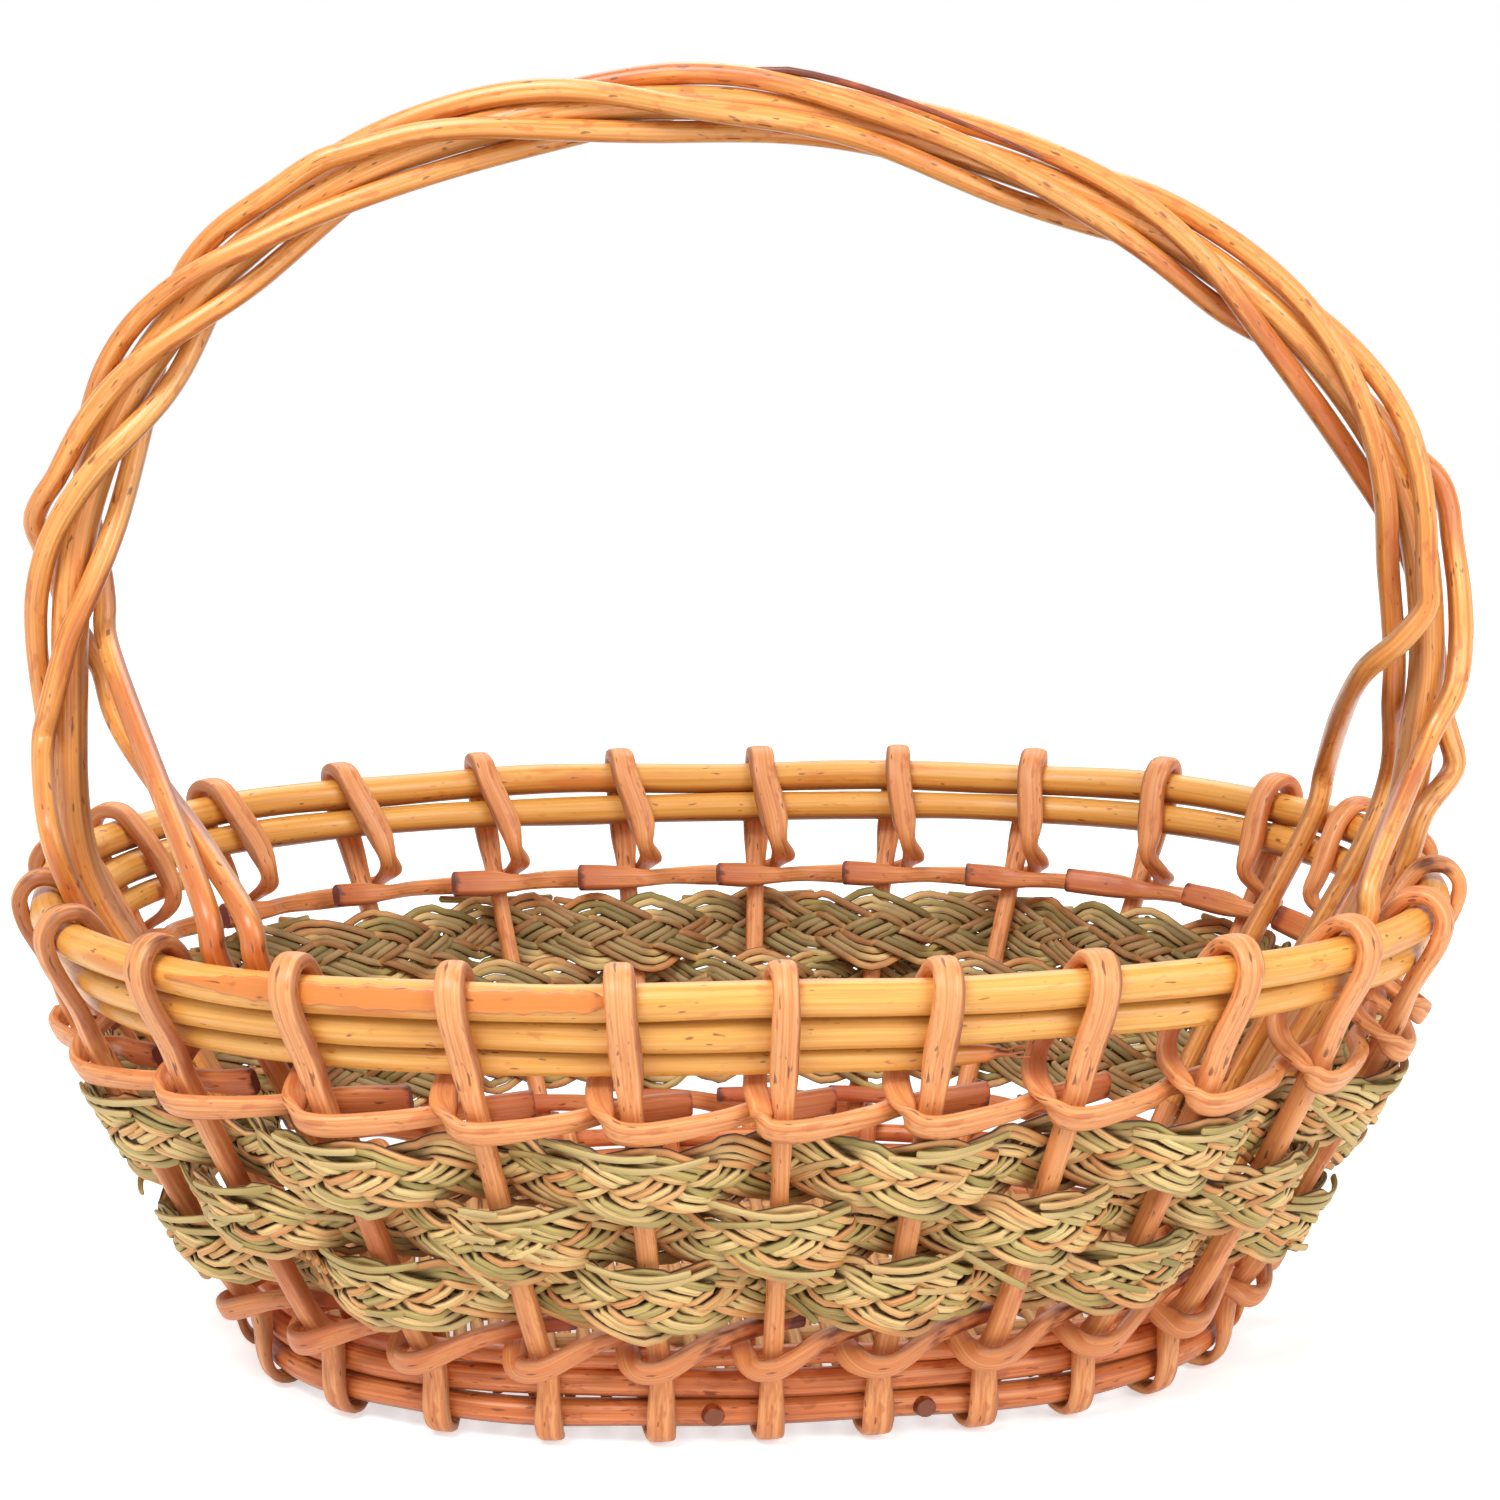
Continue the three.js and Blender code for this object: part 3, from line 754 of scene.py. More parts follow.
def set_columns(mesh: bpy.types.Mesh, columns: dict[str, Array]) -> None:
    """Writes columns as attributes of a mesh's points.

    Args:
        mesh: The mesh.
        columns: Values by name, one or three for each point.
    """
    for key, value in columns.items():
        kind, member = ("FLOAT_VECTOR", "vector") if value.ndim == 2 else ("FLOAT", "value")
        layer = mesh.attributes.new(key, kind, "POINT")
        layer.data.foreach_set(member, value.astype(np.float32).ravel())


def guide_mesh(name: str, rods: list[Rod]) -> bpy.types.Mesh:
    """Writes rods as a mesh of edges whose points carry the section.

    Args:
        name: The mesh's name.
        rods: The rods, in millimetres.

    Returns:
        The mesh, in metres.
    """
    columns: dict[str, list[Array]] = {}
    edges = []
    start = 0
    for number, rod in enumerate(rods):
        arrays = rod.arrays()
        count = len(arrays["points"])
        steps = np.linalg.norm(np.diff(arrays["points"], axis=0), axis=1)
        arrays["along"] = np.concatenate([[0.0], np.cumsum(steps)]) + 1000.0 * number
        for key, value in arrays.items():
            columns.setdefault(key, []).append(value)
        numbers = np.arange(start, start + count)
        edges.append(np.stack([numbers[:-1], numbers[1:]], axis=1))
        if rod.closed:
            edges.append(np.array([[numbers[-1], numbers[0]]]))
        start += count
    joined = {key: np.concatenate(value) for key, value in columns.items()}
    mesh = bpy.data.meshes.new(name)
    mesh.from_pydata((joined.pop("points") * MM).tolist(),
                     np.concatenate(edges).tolist(), [])
    for key in ("half_wide", "half_thick", "along"):
        joined[key] = joined[key] * MM
    set_columns(mesh, joined)
    return mesh


def grow(name: str, guide: bpy.types.Mesh, tree: Tree,
         values: dict) -> bpy.types.Object:
    """Runs a geometry tree on a guide and keeps the result as a plain mesh.

    Args:
        name: The piece's name.
        guide: The guide mesh, which is used up.
        tree: The geometry tree.
        values: The tree's inputs by name.

    Returns:
        The piece, with no modifier left on it.
    """
    piece = bpy.data.objects.new(name, guide)
    bpy.context.scene.collection.objects.link(piece)
    modifier = piece.modifiers.new("Make", "NODES")
    modifier.node_group = tree
    identifiers = {
        item.name: item.identifier for item in tree.interface.items_tree
        if item.item_type == "SOCKET" and item.in_out == "INPUT"
    }
    for label, value in values.items():
        modifier[identifiers[label]] = value
    depsgraph = bpy.context.evaluated_depsgraph_get()
    mesh = bpy.data.meshes.new_from_object(
        piece.evaluated_get(depsgraph), preserve_all_data_layers=True, depsgraph=depsgraph)
    mesh.name = name
    piece.modifiers.clear()
    piece.data = mesh
    bpy.data.meshes.remove(guide)
    return piece


def report(piece: bpy.types.Object, slot: Slot, *nodes: str) -> None:
    """Settles a finished piece in the frame and logs it.

    Args:
        piece: The piece.
        slot: The record's slot for its finish; not used.
        *nodes: The frame's nodes that it stands for.
    """
    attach(piece, "root")
    if nodes:
        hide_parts(*nodes)
    log.info("%s: %d faces", piece.name, len(piece.data.polygons))


def make_rods(name: str, rods: list[Rod], material: Material, slot: Slot, *nodes: str,
              sides: int = 16, roundness: float = 1.0) -> None:
    """Makes and settles one piece of one or more rods.

    Args:
        name: The piece's name.
        rods: Its rods.
        material: What it is made of.
        slot: The record's slot for its finish.
        *nodes: The frame's nodes that it stands for.
        sides: Faces round a rod.
        roundness: 1 for a round section, less for one with square shoulders.
    """
    values = {"Sides": sides, "Roundness": roundness, "Material": material}
    report(grow(name, guide_mesh(name, rods), rod_tree(), values), slot, *nodes)


def linear(colour: str) -> tuple[float, float, float, float]:
    """Turns an sRGB hex colour to a linear one.

    Args:
        colour: The colour, as #rrggbb.

    Returns:
        Red, green, blue and a full alpha.
    """
    parts = [int(colour[i:i + 2], 16) / 255 for i in (1, 3, 5)]
    flat = [c / 12.92 if c <= 0.04045 else ((c + 0.055) / 1.055) ** 2.4 for c in parts]
    return (*flat, 1.0)


@dataclass(frozen=True)
class Finish:
    """What every finish has: a name, and a tree that it builds from the rod's grain."""

    name: str

    def start(self, *attributes: str) -> tuple[Material, Graph]:
        """Starts the material.

        Args:
            *attributes: The mesh's numbers that it reads besides the grain.

        Returns:
            The material and its tree.
        """
        material = bpy.data.materials.new(self.name)
        material.use_nodes = True
        tree = material.node_tree
        tree.nodes.clear()
        known = {name: add_node(tree, "ShaderNodeAttribute",
                                {"attribute_name": name}).outputs["Fac"]
                 for name in attributes}
        grain = add_node(tree, "ShaderNodeAttribute", {"attribute_name": "grain"})
        known["grain"] = grain.outputs["Vector"]
        return material, Graph(tree, known)

    def noise(self, graph: Graph, name: str, size: Pair,
              **settings: float) -> None:
        """Adds a noise drawn out along the rod.

        Args:
            graph: The material's tree.
            name: The noise's name.
            size: Length and width of a feature, in millimetres.
            **settings: The noise's own inputs.
        """
        scale = (1 / size[0], 1 / size[1], 1 / size[1])
        graph.add(("drawn out", "ShaderNodeMapping", None,
                   {"Vector": "grain", "Scale": scale}),
                  (name, "ShaderNodeTexNoise", None,
                   {"Vector": "drawn out", "Scale": 1.0, **settings}))

    def ramp(self, graph: Graph, name: str, feed: str,
             stops: tuple[tuple[float, str], ...]) -> None:
        """Adds a Color Ramp.

        Args:
            graph: The material's tree.
            name: The colour's name.
            feed: Name of the value that picks the colour.
            stops: Place and sRGB hex colour of each stop.
        """
        graph.add((name, "ShaderNodeValToRGB", None, feed))
        elements = graph.known[name].node.color_ramp.elements
        while len(elements) < len(stops):
            elements.new(1.0)
        for element, (place, colour) in zip(elements, stops):
            element.position = place
            element.color = linear(colour)

    def cover(self, graph: Graph, *coats: tuple[str, str, str, str]) -> None:
        """Lays plain colours one over another.

        Args:
            graph: The material's tree.
            *coats: Name of the mixed colour, names of the share that covers and of the
                colour beneath, and the sRGB hex colour on top.
        """
        for name, share, under, colour in coats:
            graph.add((name, "ShaderNodeMix", {"data_type": "RGBA"},
                       {0: share, 6: under, 7: linear(colour)}))

    def end(self, graph: Graph, height: str, depth: float,
            **settings: str | float) -> None:
        """Adds the relief, the shader and the output.

        Args:
            graph: The material's tree.
            height: Name of the value that gives the relief.
            depth: The relief's depth in millimetres.
            **settings: The shader's inputs, as values or known names.
        """
        inputs = {key.replace("_", " "): value for key, value in settings.items()}
        graph.add(("bump", "ShaderNodeBump", None,
                   {"Height": height, "Strength": 0.6, "Distance": depth * MM}),
                  ("shader", "ShaderNodeBsdfPrincipled", None,
                   {"Normal": "bump", **inputs}))
        graph.end("ShaderNodeOutputMaterial", "Surface", "shader")


@dataclass(frozen=True)
class WillowFinish(Finish):
    """Willow rods: a grained wood under varnish or bare.

    The grain runs along the rod. Colours go from the darker grain to the pale wood, flush
    is the red tint that peeling and boiling leave in patches, and bark is what was not
    peeled off or has rotted at a torn end. The bark colour is also laid along one side of
    the rod as painted shade, where it presses on another rod.
    """

    deep: str
    middle: str
    pale: str
    flush: str
    bark: str
    cut: str
    roughness: float
    coat: float
    flush_from: float = 0.6
    speck_from: float = 0.68
    blotch_from: float = 0.6
    grain_size: Pair = (70.0, 0.9)
    patch_size: Pair = (55.0, 9.0)
    blotch_size: Pair = (9.0, 3.0)
    speck_size: Pair = (5.5, 1.5)
    # Painted shade along one side of the rod: where it starts and where it is full across
    # the section, in millimetres, and how dark it gets
    shade_from: float = 2.4
    shade_to: float = 3.4
    shade: float = 0.4
    own_red: float = 0.24
    relief: float = 0.1

    def build(self) -> Material:
        """Builds the finish.

        Returns:
            The material.
        """
        material, graph = self.start("tone", "flush", "bark", "cut")
        for name, size, detail in (
                ("streaks", self.grain_size, 4.0), ("patches", self.patch_size, 3.0),
                ("blotches", self.blotch_size, 2.0), ("specks", self.speck_size, 1.0)):
            self.noise(graph, name, size, Detail=detail, Roughness=0.6)
        self.ramp(graph, "wood", "streaks",
                  ((0.28, self.deep), (0.5, self.middle), (0.72, self.pale)))

        def step(name: str, feed: str, start: float, rise: float, top: float) -> tuple:
            """A soft step's row."""
            return name, MAP_RANGE, SOFT, feed, start, start + rise, None, top

        graph.add(
            ("own", MATH, "MULTIPLY_ADD", "tone", self.own_red, -self.own_red / 2),
            ("patched", MATH, "ADD", "patches", "own"),
            step("patch", "patched", self.flush_from, 0.16, 0.7),
            ("redder", MATH, "MAXIMUM", "patch", "flush"),
            step("blotch", "blotches", self.blotch_from, 0.1, 0.45),
            step("speck", "specks", self.speck_from, 0.08, 0.7),
            ("torn", MATH, "MULTIPLY_ADD", "blotches", 0.7, "bark"),
            step("left", "torn", 0.75, 0.25, 0.9),
            ("dark", MATH, "MAXIMUM", "speck", "left"),
            # Painted shade: the rod's side at negative across offsets, the lower side on a
            # hoop where it rests on the rod below, is darkened with the bark colour
            ((None, "across"), SEPARATE, None, "grain"),
            ("seam", MAP_RANGE, SOFT, "across", -self.shade_from, -self.shade_to, None,
             self.shade),
            ("rough", MAP_RANGE, None, "streaks", None, None, self.roughness + 0.12,
             self.roughness - 0.08))
        self.cover(
            graph,
            ("tinted", "redder", "wood", self.flush),
            ("blotched", "blotch", "tinted", self.flush),
            ("marked", "dark", "blotched", self.bark),
            # painted contact shade, in the bark colour
            ("seamed", "seam", "marked", self.bark),
            ("ended", "cut", "seamed", self.cut))
        self.end(graph, "streaks", self.relief, Base_Color="ended", Roughness="rough",
                 IOR=1.5, Coat_Weight=self.coat, Coat_Roughness=0.25)
        return material


@dataclass(frozen=True)
class RushFinish(Finish):
    """Rush stems, dried and plaited: each stem has its own green, straw or orange tint."""

    tints: tuple[tuple[float, str], ...]
    groove_and_shade: str
    roughness: float
    stem_half_width: float
    line_size: Pair = (40.0, 0.4)
    patch_size: Pair = (30.0, 1 / 0.15)
    patch_tint: float = 0.8
    line_shade: float = 0.35
    flat_share: float = 0.62
    sunk_shade: float = 0.6
    relief: float = 0.12

    def build(self) -> Material:
        """Builds the finish.

        Returns:
            The material.
        """
        material, graph = self.start("tone", "level")
        self.noise(graph, "lines", self.line_size, Detail=2.0)
        self.noise(graph, "patches", self.patch_size, Detail=2.0)
        graph.add(
            ("swing", MATH, "MULTIPLY_ADD", "patches", self.patch_tint,
             -self.patch_tint / 2),
            ("picked", MATH, "ADD", "tone", "swing"),
            ("depth", MAP_RANGE, SOFT, "lines", 0.3, 0.55, self.line_shade, 0.0),
            # Painted shade: the stem's rounded sides are darkened, where shade falls
            # between two stems
            ((None, "spread"), SEPARATE, None, "grain"),
            ("beside", MATH, "ABSOLUTE", "spread"),
            ("edge", MAP_RANGE, SOFT, "beside", self.stem_half_width * self.flat_share,
             self.stem_half_width, None, 1.0),
            # Painted shade, darker where one strand goes down under another
            ("sunk", MAP_RANGE, None, "level", 0.5, -0.6, None, self.sunk_shade),
            ("sides", MATH, "MAXIMUM", "depth", "edge"),
            ("shaded", MATH, "MAXIMUM", "sides", "sunk"))
        self.ramp(graph, "tint", "picked", self.tints)
        # The groove colour covers the stems' own fine lines, and the painted shade at their
        # sides and where they go under
        self.cover(graph, ("lined", "shaded", "tint", self.groove_and_shade))
        self.end(graph, "lines", self.relief, Base_Color="lined",
                 Roughness=self.roughness, IOR=1.45)
        return material


# Whole willow rods, boiled, peeled and varnished: honey yellow, satin, with fine grain
RIM_FINISH = WillowFinish(
    name="Peeled willow hoop, varnished", deep="#e0963c", middle="#eeaa4e",
    pale="#f6c16b", flush="#d97830", bark="#6b260a", cut="#8f4a25",
    roughness=0.42, coat=0.35, flush_from=0.64, speck_from=0.69, blotch_from=0.62,
    shade_from=2.7, shade_to=4.6, shade=0.75)
# The same rods at the foot, boiled longer in their bark: orange red, with bark left on
BASE_FINISH = WillowFinish(
    name="Half-peeled willow hoop, varnished", deep="#bb5a24", middle="#de7f42",
    pale="#f4a463", flush="#a9471c", bark="#5a200c", cut="#7a3a18",
    roughness=0.46, coat=0.25, flush_from=0.56, speck_from=0.66, blotch_from=0.56,
    shade_from=1.8, shade_to=3.8, shade=0.8)
# Thinner rods, soaked and bent while wet: tan orange, dull, with creases along the bends
UPRIGHT_FINISH = WillowFinish(
    name="Soaked willow stake", deep="#cb7840", middle="#e69557",
    pale="#f5b77b", flush="#bd5a2d", bark="#5c1f0e", cut="#6a2815",
    roughness=0.5, coat=0.15, flush_from=0.56, speck_from=0.68, blotch_from=0.58,
    shade_from=2.3, shade_to=3.6, shade=0.5, relief=0.22)
# Peeled rods for the bow, varnished with the rim but redder where they were bent
HANDLE_FINISH = WillowFinish(
    name="Peeled willow bow rod, varnished", deep="#ce742c", middle="#eb9c4a",
    pale="#f8c479", flush="#c25a22", bark="#5e220c", cut="#8a4420",
    roughness=0.38, coat=0.4, flush_from=0.54, patch_size=(60.0, 8.0),
    speck_from=0.66, blotch_from=0.57, shade_from=1.8, shade_to=3.3, shade=0.5)
# Unvarnished rods for the floor: dull tan, with no red
FLOOR_FINISH = WillowFinish(
    name="Unvarnished willow floor rod", deep="#a9723f", middle="#c8935c",
    pale="#dcb07a", flush="#ad6c3a", bark="#5a3018", cut="#8b5a34",
    roughness=0.65, coat=0.0, flush_from=0.64)
# Rush stems, cut green and dried: olive and straw, some turned orange, fine lines, and a
# dark groove colour that is also painted shade between and under stems
PLAIT_FINISH = RushFinish(
    name="Dried rush plait",
    tints=((0.05, "#ab9c5a"), (0.3, "#cdb36c"), (0.5, "#efd38f"), (0.75, "#fbd18c"),
           (0.97, "#e6a262")),
    groove_and_shade="#371a08", roughness=0.55, stem_half_width=1.3)


@dataclass
class RimHoops:
    """The two hoops and the short third rod that the uprights are bent over."""

    wall: OvalWall
    step: float = 4.0
    filler_ends: Pair = (-2.66, 7.46)
    filler_tip: float = 1.5
    filler_taper: float = 22.0
    torn_length: float = 16.0
    splinter_root: float = 8.0
    strip_x: Pair = (-158.0, -46.0)
    strip_half_width: float = 3.0
    strip_half_thick: float = 0.45
    strip_turn: float = 0.62
    strip_sunk: float = 0.1
    strip_steps: int = 40
    strip_ends: Pair = (5.0, 30.0)
    strip_tip: float = 0.15
    swing: float = 0.45
    swell: float = 0.035
    seed: int = 11

    # Splinters at the third rod's end: out of its middle, rise and free length
    SPLINTERS = ((0.9, -1.2, 9.0), (1.3, 0.8, 6.5), (0.2, 1.6, 8.0))

    def hoop(self, z: float, radius: float, seed: int) -> Rod:
        """Lays one whole hoop round the oval.

        Args:
            z: Its height.
            radius: Half its thickness.
            seed: Its own random start.

        Returns:
            A closed rod.
        """
        rng = np.random.default_rng(seed)
        count = round(self.wall.rim_length / self.step)
        share = np.arange(count) / count
        place = share * self.wall.rim_length
        out = wander(share, rng, self.swing, (5, 9, 14))
        height = z + wander(share, rng, self.swing, (4, 7, 11))
        swelling = 1 + wander(share, rng, self.swell, (6, 13, 22))
        return Rod(
            points=self.wall.point(place, out, height),
            half_wide=radius * swelling, half_thick=radius * swelling,
            face=self.wall.axes(place, height)[1], closed=True, tone=rng.random())

    def filler(self) -> Rod:
        """Lays the short third rod along the left end and the front.

        Returns:
            An open rod.
        """
        sizes = self.wall.sizes
        start, end = self.wall.upright_place(np.array(self.filler_ends))
        count = round((end - start) / self.step)
        place = np.linspace(start, end, count)
        run = np.minimum(place - start, end - place)
        radius = self.filler_tip + (sizes.rim_filler_r - self.filler_tip) * np.clip(
            run / self.filler_taper, 0, 1) ** 0.5
        torn = np.clip(1 - (end - place) / self.torn_length, 0, 1)
        return Rod(
            points=self.wall.point(place, 0.0, sizes.filler_z),
            half_wide=radius, half_thick=radius,
            face=self.wall.axes(place, sizes.filler_z)[1], tone=0.3,
            flush=torn ** 0.5, bark=0.6 * torn)

    def splinters(self) -> list[Rod]:
        """Lays the fibres that stand out of the third rod's torn end.

        Returns:
            Open rods.
        """
        sizes = self.wall.sizes
        rng = np.random.default_rng(self.seed + 5)
        end = self.wall.upright_place(self.filler_ends[1])
        made = []
        for out, rise, length in self.SPLINTERS:
            share = np.linspace(0, 1, 7)
            place = end - self.splinter_root + (self.splinter_root + length) * share
            z = sizes.filler_z + rise * share + 0.3 * rng.normal(size=7)
            points = self.wall.point(place, out * (0.6 + share), z)
            made.append(Rod(points=points, half_wide=0.9 - 0.6 * share,
                            half_thick=0.5 - 0.3 * share,
                            face=self.wall.axes(place, z)[1], flush=1.0, bark=0.5))
        return made

    def strip(self) -> Rod:
        """Lays the red strip of bark that shows along the top hoop's front.

        Returns:
            An open rod.
        """
        sizes = self.wall.sizes
        reach = sizes.rim_upper_r - self.strip_sunk
        sine, cosine = math.sin(self.strip_turn), math.cos(self.strip_turn)
        z = sizes.rim_upper_z + reach * sine
        start, end = (self.wall.front_place(x, z) for x in self.strip_x)
        place = np.linspace(start, end, self.strip_steps)
        share = np.linspace(0, 1, self.strip_steps)
        blunt, blunter = self.strip_ends
        taper = np.clip(np.minimum(share * blunt, (1 - share) * blunter),
                        self.strip_tip, 1)
        rng = np.random.default_rng(self.seed + 6)
        _, out, up = self.wall.axes(place, z)
        return Rod(
            points=self.wall.point(place, reach * cosine, z),
            half_wide=self.strip_half_width * taper
            * (1 + wander(share, rng, 0.12, (4, 9, 15))),
            half_thick=self.strip_half_thick, face=out * cosine + up * sine,
            flush=0.8, bark=0.3 + wander(share, rng, 0.16, (5, 11, 17, 29)))

    def build(self) -> None:
        """Makes and settles the rim's pieces."""
        sizes = self.wall.sizes
        material = RIM_FINISH.build()
        upper = self.hoop(sizes.rim_upper_z, sizes.rim_upper_r, self.seed)
        lower = self.hoop(sizes.rim_lower_z, sizes.rim_lower_r, self.seed + 1)
        for name, rods, sides, node in (
                ("upper", [upper, self.strip()], 20, "rim_hoop_upper"),
                ("lower", [lower], 18, "rim_hoop_lower"),
                ("third", [self.filler(), *self.splinters()], 16, "rim_filler_rod")):
            make_rods(f"rim_{name}_rod", rods, material, Slot.RIM, node, sides=sides)


@dataclass
class BaseHoops:
    """The three hoops that the uprights turn under, with two trimmed side shoots."""

    wall: OvalWall
    step: float = 4.0
    swing: float = 0.3
    knot_x: tuple[float, ...] = (-17.0, 41.0)
    knot_r: float = 3.3
    knot_length: float = 5.6
    seed: int = 31

    def knot(self, x: float) -> Rod:
        """Lays the stub of a side shoot that was cut off the bottom hoop.

        Args:
            x: How far right of the middle it is.

        Returns:
            A short rod that points out of the wall.
        """
        z = self.wall.sizes.base_z[0]
        place = self.wall.front_place(x, z)
        run = np.linspace(0, self.knot_length, 5)
        share = run / self.knot_length
        return Rod(points=self.wall.point(place + 0.8 * share, run, z + 0.4 * share),
                   half_wide=self.knot_r * (1.15 - 0.25 * share),
                   half_thick=self.knot_r * (1.05 - 0.25 * share),
                   face=UP, flush=0.8, bark=0.25 + 0.3 * share)

    def build(self) -> None:
        """Makes and settles the base hoops."""
        sizes = self.wall.sizes
        material = BASE_FINISH.build()
        maker = RimHoops(self.wall, step=self.step, swing=self.swing)
        radii = (sizes.base_hoop_r, sizes.base_hoop_r, sizes.base_top_hoop_r)
        for number, name in enumerate(("bottom", "middle", "top")):
            rods = [maker.hoop(sizes.base_z[number], radii[number], self.seed + number)]
            if number == 0:
                rods += [self.knot(x) for x in self.knot_x]
            make_rods(f"base_{name}_rod", rods, material, Slot.BASE, f"base_hoop_{name}")


@dataclass
class Uprights:
    """The rods that stand round the wall, each wrapped over the rim and under the base."""

    wall: OvalWall
    turn_back: float = 8.0
    tail_past_next: float = 9.0
    foot_past: float = 4.0
    longest_end: float = 9.0
    level_half: float = 1.8
    inner_ease: float = 0.5
    tail_half_thick: float = 2.4
    tail_end: Pair = (4.3, 2.2)
    foot_half_thick: float = 1.5
    fold_half_width: float = 3.9
    fold_half_thick: float = 1.7
    turn_spread: float = 0.7
    slimness: float = 0.91
    width_spread: float = 0.05
    swell: float = 0.04
    roundness: float = 0.65
    red_foot: float = 75.0
    red_end: float = 22.0
    rotten_end: float = 5.0
    torn_feet: tuple[int, ...] = (5, 6, 7, 8, 9)
    torn_heads: tuple[int, ...] = (0, 1, 2, 12, 13, 25)
    step: float = 1.5
    seed: int = 101

    # Share of bark left on a whole and on a torn foot, and on such a bend over the rim
    FOOT_BARK = (0.08, 0.45)
    HEAD_BARK = (0.12, 0.5)
    # A rod's width and thickness add up to this, so it is thinner where it is wider
    WIDTH_AND_THICKNESS = 1.85

    def stops(self, pitch: float, backs: Array, pasts: Pair) -> Array:
        """Lists the stops of an upright from the foot's tail to the head's.

        Args:
            pitch: Length along the rim to the next upright.
            backs: How far the rod leans back along the wall before its foot's tail
                and its head's tail come out.
            pasts: How far those two tails run on past the next upright.

        Returns:
            Rows of length along the wall, out, height, half width, half thickness and
            the flat side's direction out and up.
        """
        s = self.wall.sizes
        low_pitch = pitch * self.wall_scale(s.lower_tail_z)
        tail = [s.tail_r, self.tail_half_thick]
        fold = [self.fold_half_width, self.fold_half_thick]
        under = [s.band_half_width, self.foot_half_thick]
        leg = [s.upright_r, s.upright_r]
        band = [s.band_half_width, s.band_half_thick]
        inner = s.under_out + self.inner_ease
        half = HALF_TURN
        foot, out, rim = s.base_z[0], s.band_out, s.rim_upper_z
        back, head_back = backs
        return np.array([
            # From the foot's tail into the wall and down inside the base hoops
            [low_pitch + pasts[0], -0.5, s.lower_tail_z, *tail, 1, 0],
            [low_pitch, s.behind_out - 0.6, s.lower_tail_z, *tail, 1, 0],
            [low_pitch - 16, s.leg_out - 1.2, s.lower_tail_z - 0.9, *tail, 1, 0],
            [0.5, s.cross_out, s.lower_turn_z + 1.8, *fold, 1, 0],
            [-4.8, s.cross_out - 1.2, s.lower_turn_z + 0.9, *fold, 1, 0.2],
            [0.8 - back, s.leg_out - 0.4, s.lower_turn_z + 0.4, *fold, 0.7, 0.7],
            [-back, -0.5, s.lower_turn_z, *tail, 0, 1],
            [2.4 - back, -s.under_out, s.base_z[2] + 3.6, *tail, -0.7, 0.7],
            [-5, -inner - 0.2, s.base_z[1] + 2.5, s.tail_r, s.tail_r - 0.2, -1, 0],
            # Under the base and up to the leg
            [-2, -inner, foot, *under, -1, 0],
            [-1.6, -inner * half, foot - s.under_out * half, *under, -1, -1],
            [-1, -self.level_half, s.under_z, *under, 0, -1],
            [0, self.level_half, s.under_z, *under, 0, -1],
            [0, s.under_out * half, foot - s.under_out * half, *under, 1, -1],
            [0, s.under_out, foot, *under, 1, 0],
            [0, s.base_hoop_r + s.gap + s.upright_r, s.base_z[2], *leg, 1, 0],
            [0, s.leg_out, s.lower_tail_z - 2, *leg, 1, 0],
            [0, s.leg_out, s.upper_turn_z - 2, *leg, 1, 0],
            # Over the rim
            [0, out, s.filler_z + 2, *band, 1, 0],
            [0, out, rim, *band, 1, 0],
            [0, out * half, rim + out * half, *band, 1, 1],
            [0, 0, rim + out, *band, 0, 1],
            [-0.4, -out * half, rim + out * half, *band, -1, 1],
            [-1, -out, rim, *band, -1, 0],
            [-5, -out, s.filler_z + 3, *band, -1, 0],
            # Out again and behind the next leg
            [2 - head_back, -out + 1.2, s.upper_turn_z + 3, *tail, -0.7, -0.7],
            [-head_back, 0, s.upper_turn_z, *fold, 0, -1],
            [0.8 - head_back, s.leg_out - 0.4, s.upper_turn_z - 1.3, *fold, 0.7, -0.7],
            [-4.8, s.cross_out - 1.2, s.upper_tail_z + 2.8, *fold, 1, -0.2],
            [1, s.cross_out, s.upper_tail_z + 2, *fold, 1, 0],
            [pitch - 19, s.leg_out - 0.4, s.upper_tail_z + 1, *tail, 1, 0],
            [pitch - 9, s.behind_out + 0.2, s.upper_tail_z - 0.2, *tail, 1, 0],
            [pitch, s.behind_out - 0.6, s.upper_tail_z, *self.tail_end, 1, 0],
            [pitch + pasts[1], -0.5, s.upper_tail_z + 0.2, *self.tail_end, 1, 0],
        ], float)

    def wall_scale(self, z: float) -> float:
        """The oval's size at a height, as a share of the rim's."""
        return self.wall.half_sizes(z)[0] / self.wall.sizes.rim_half_length

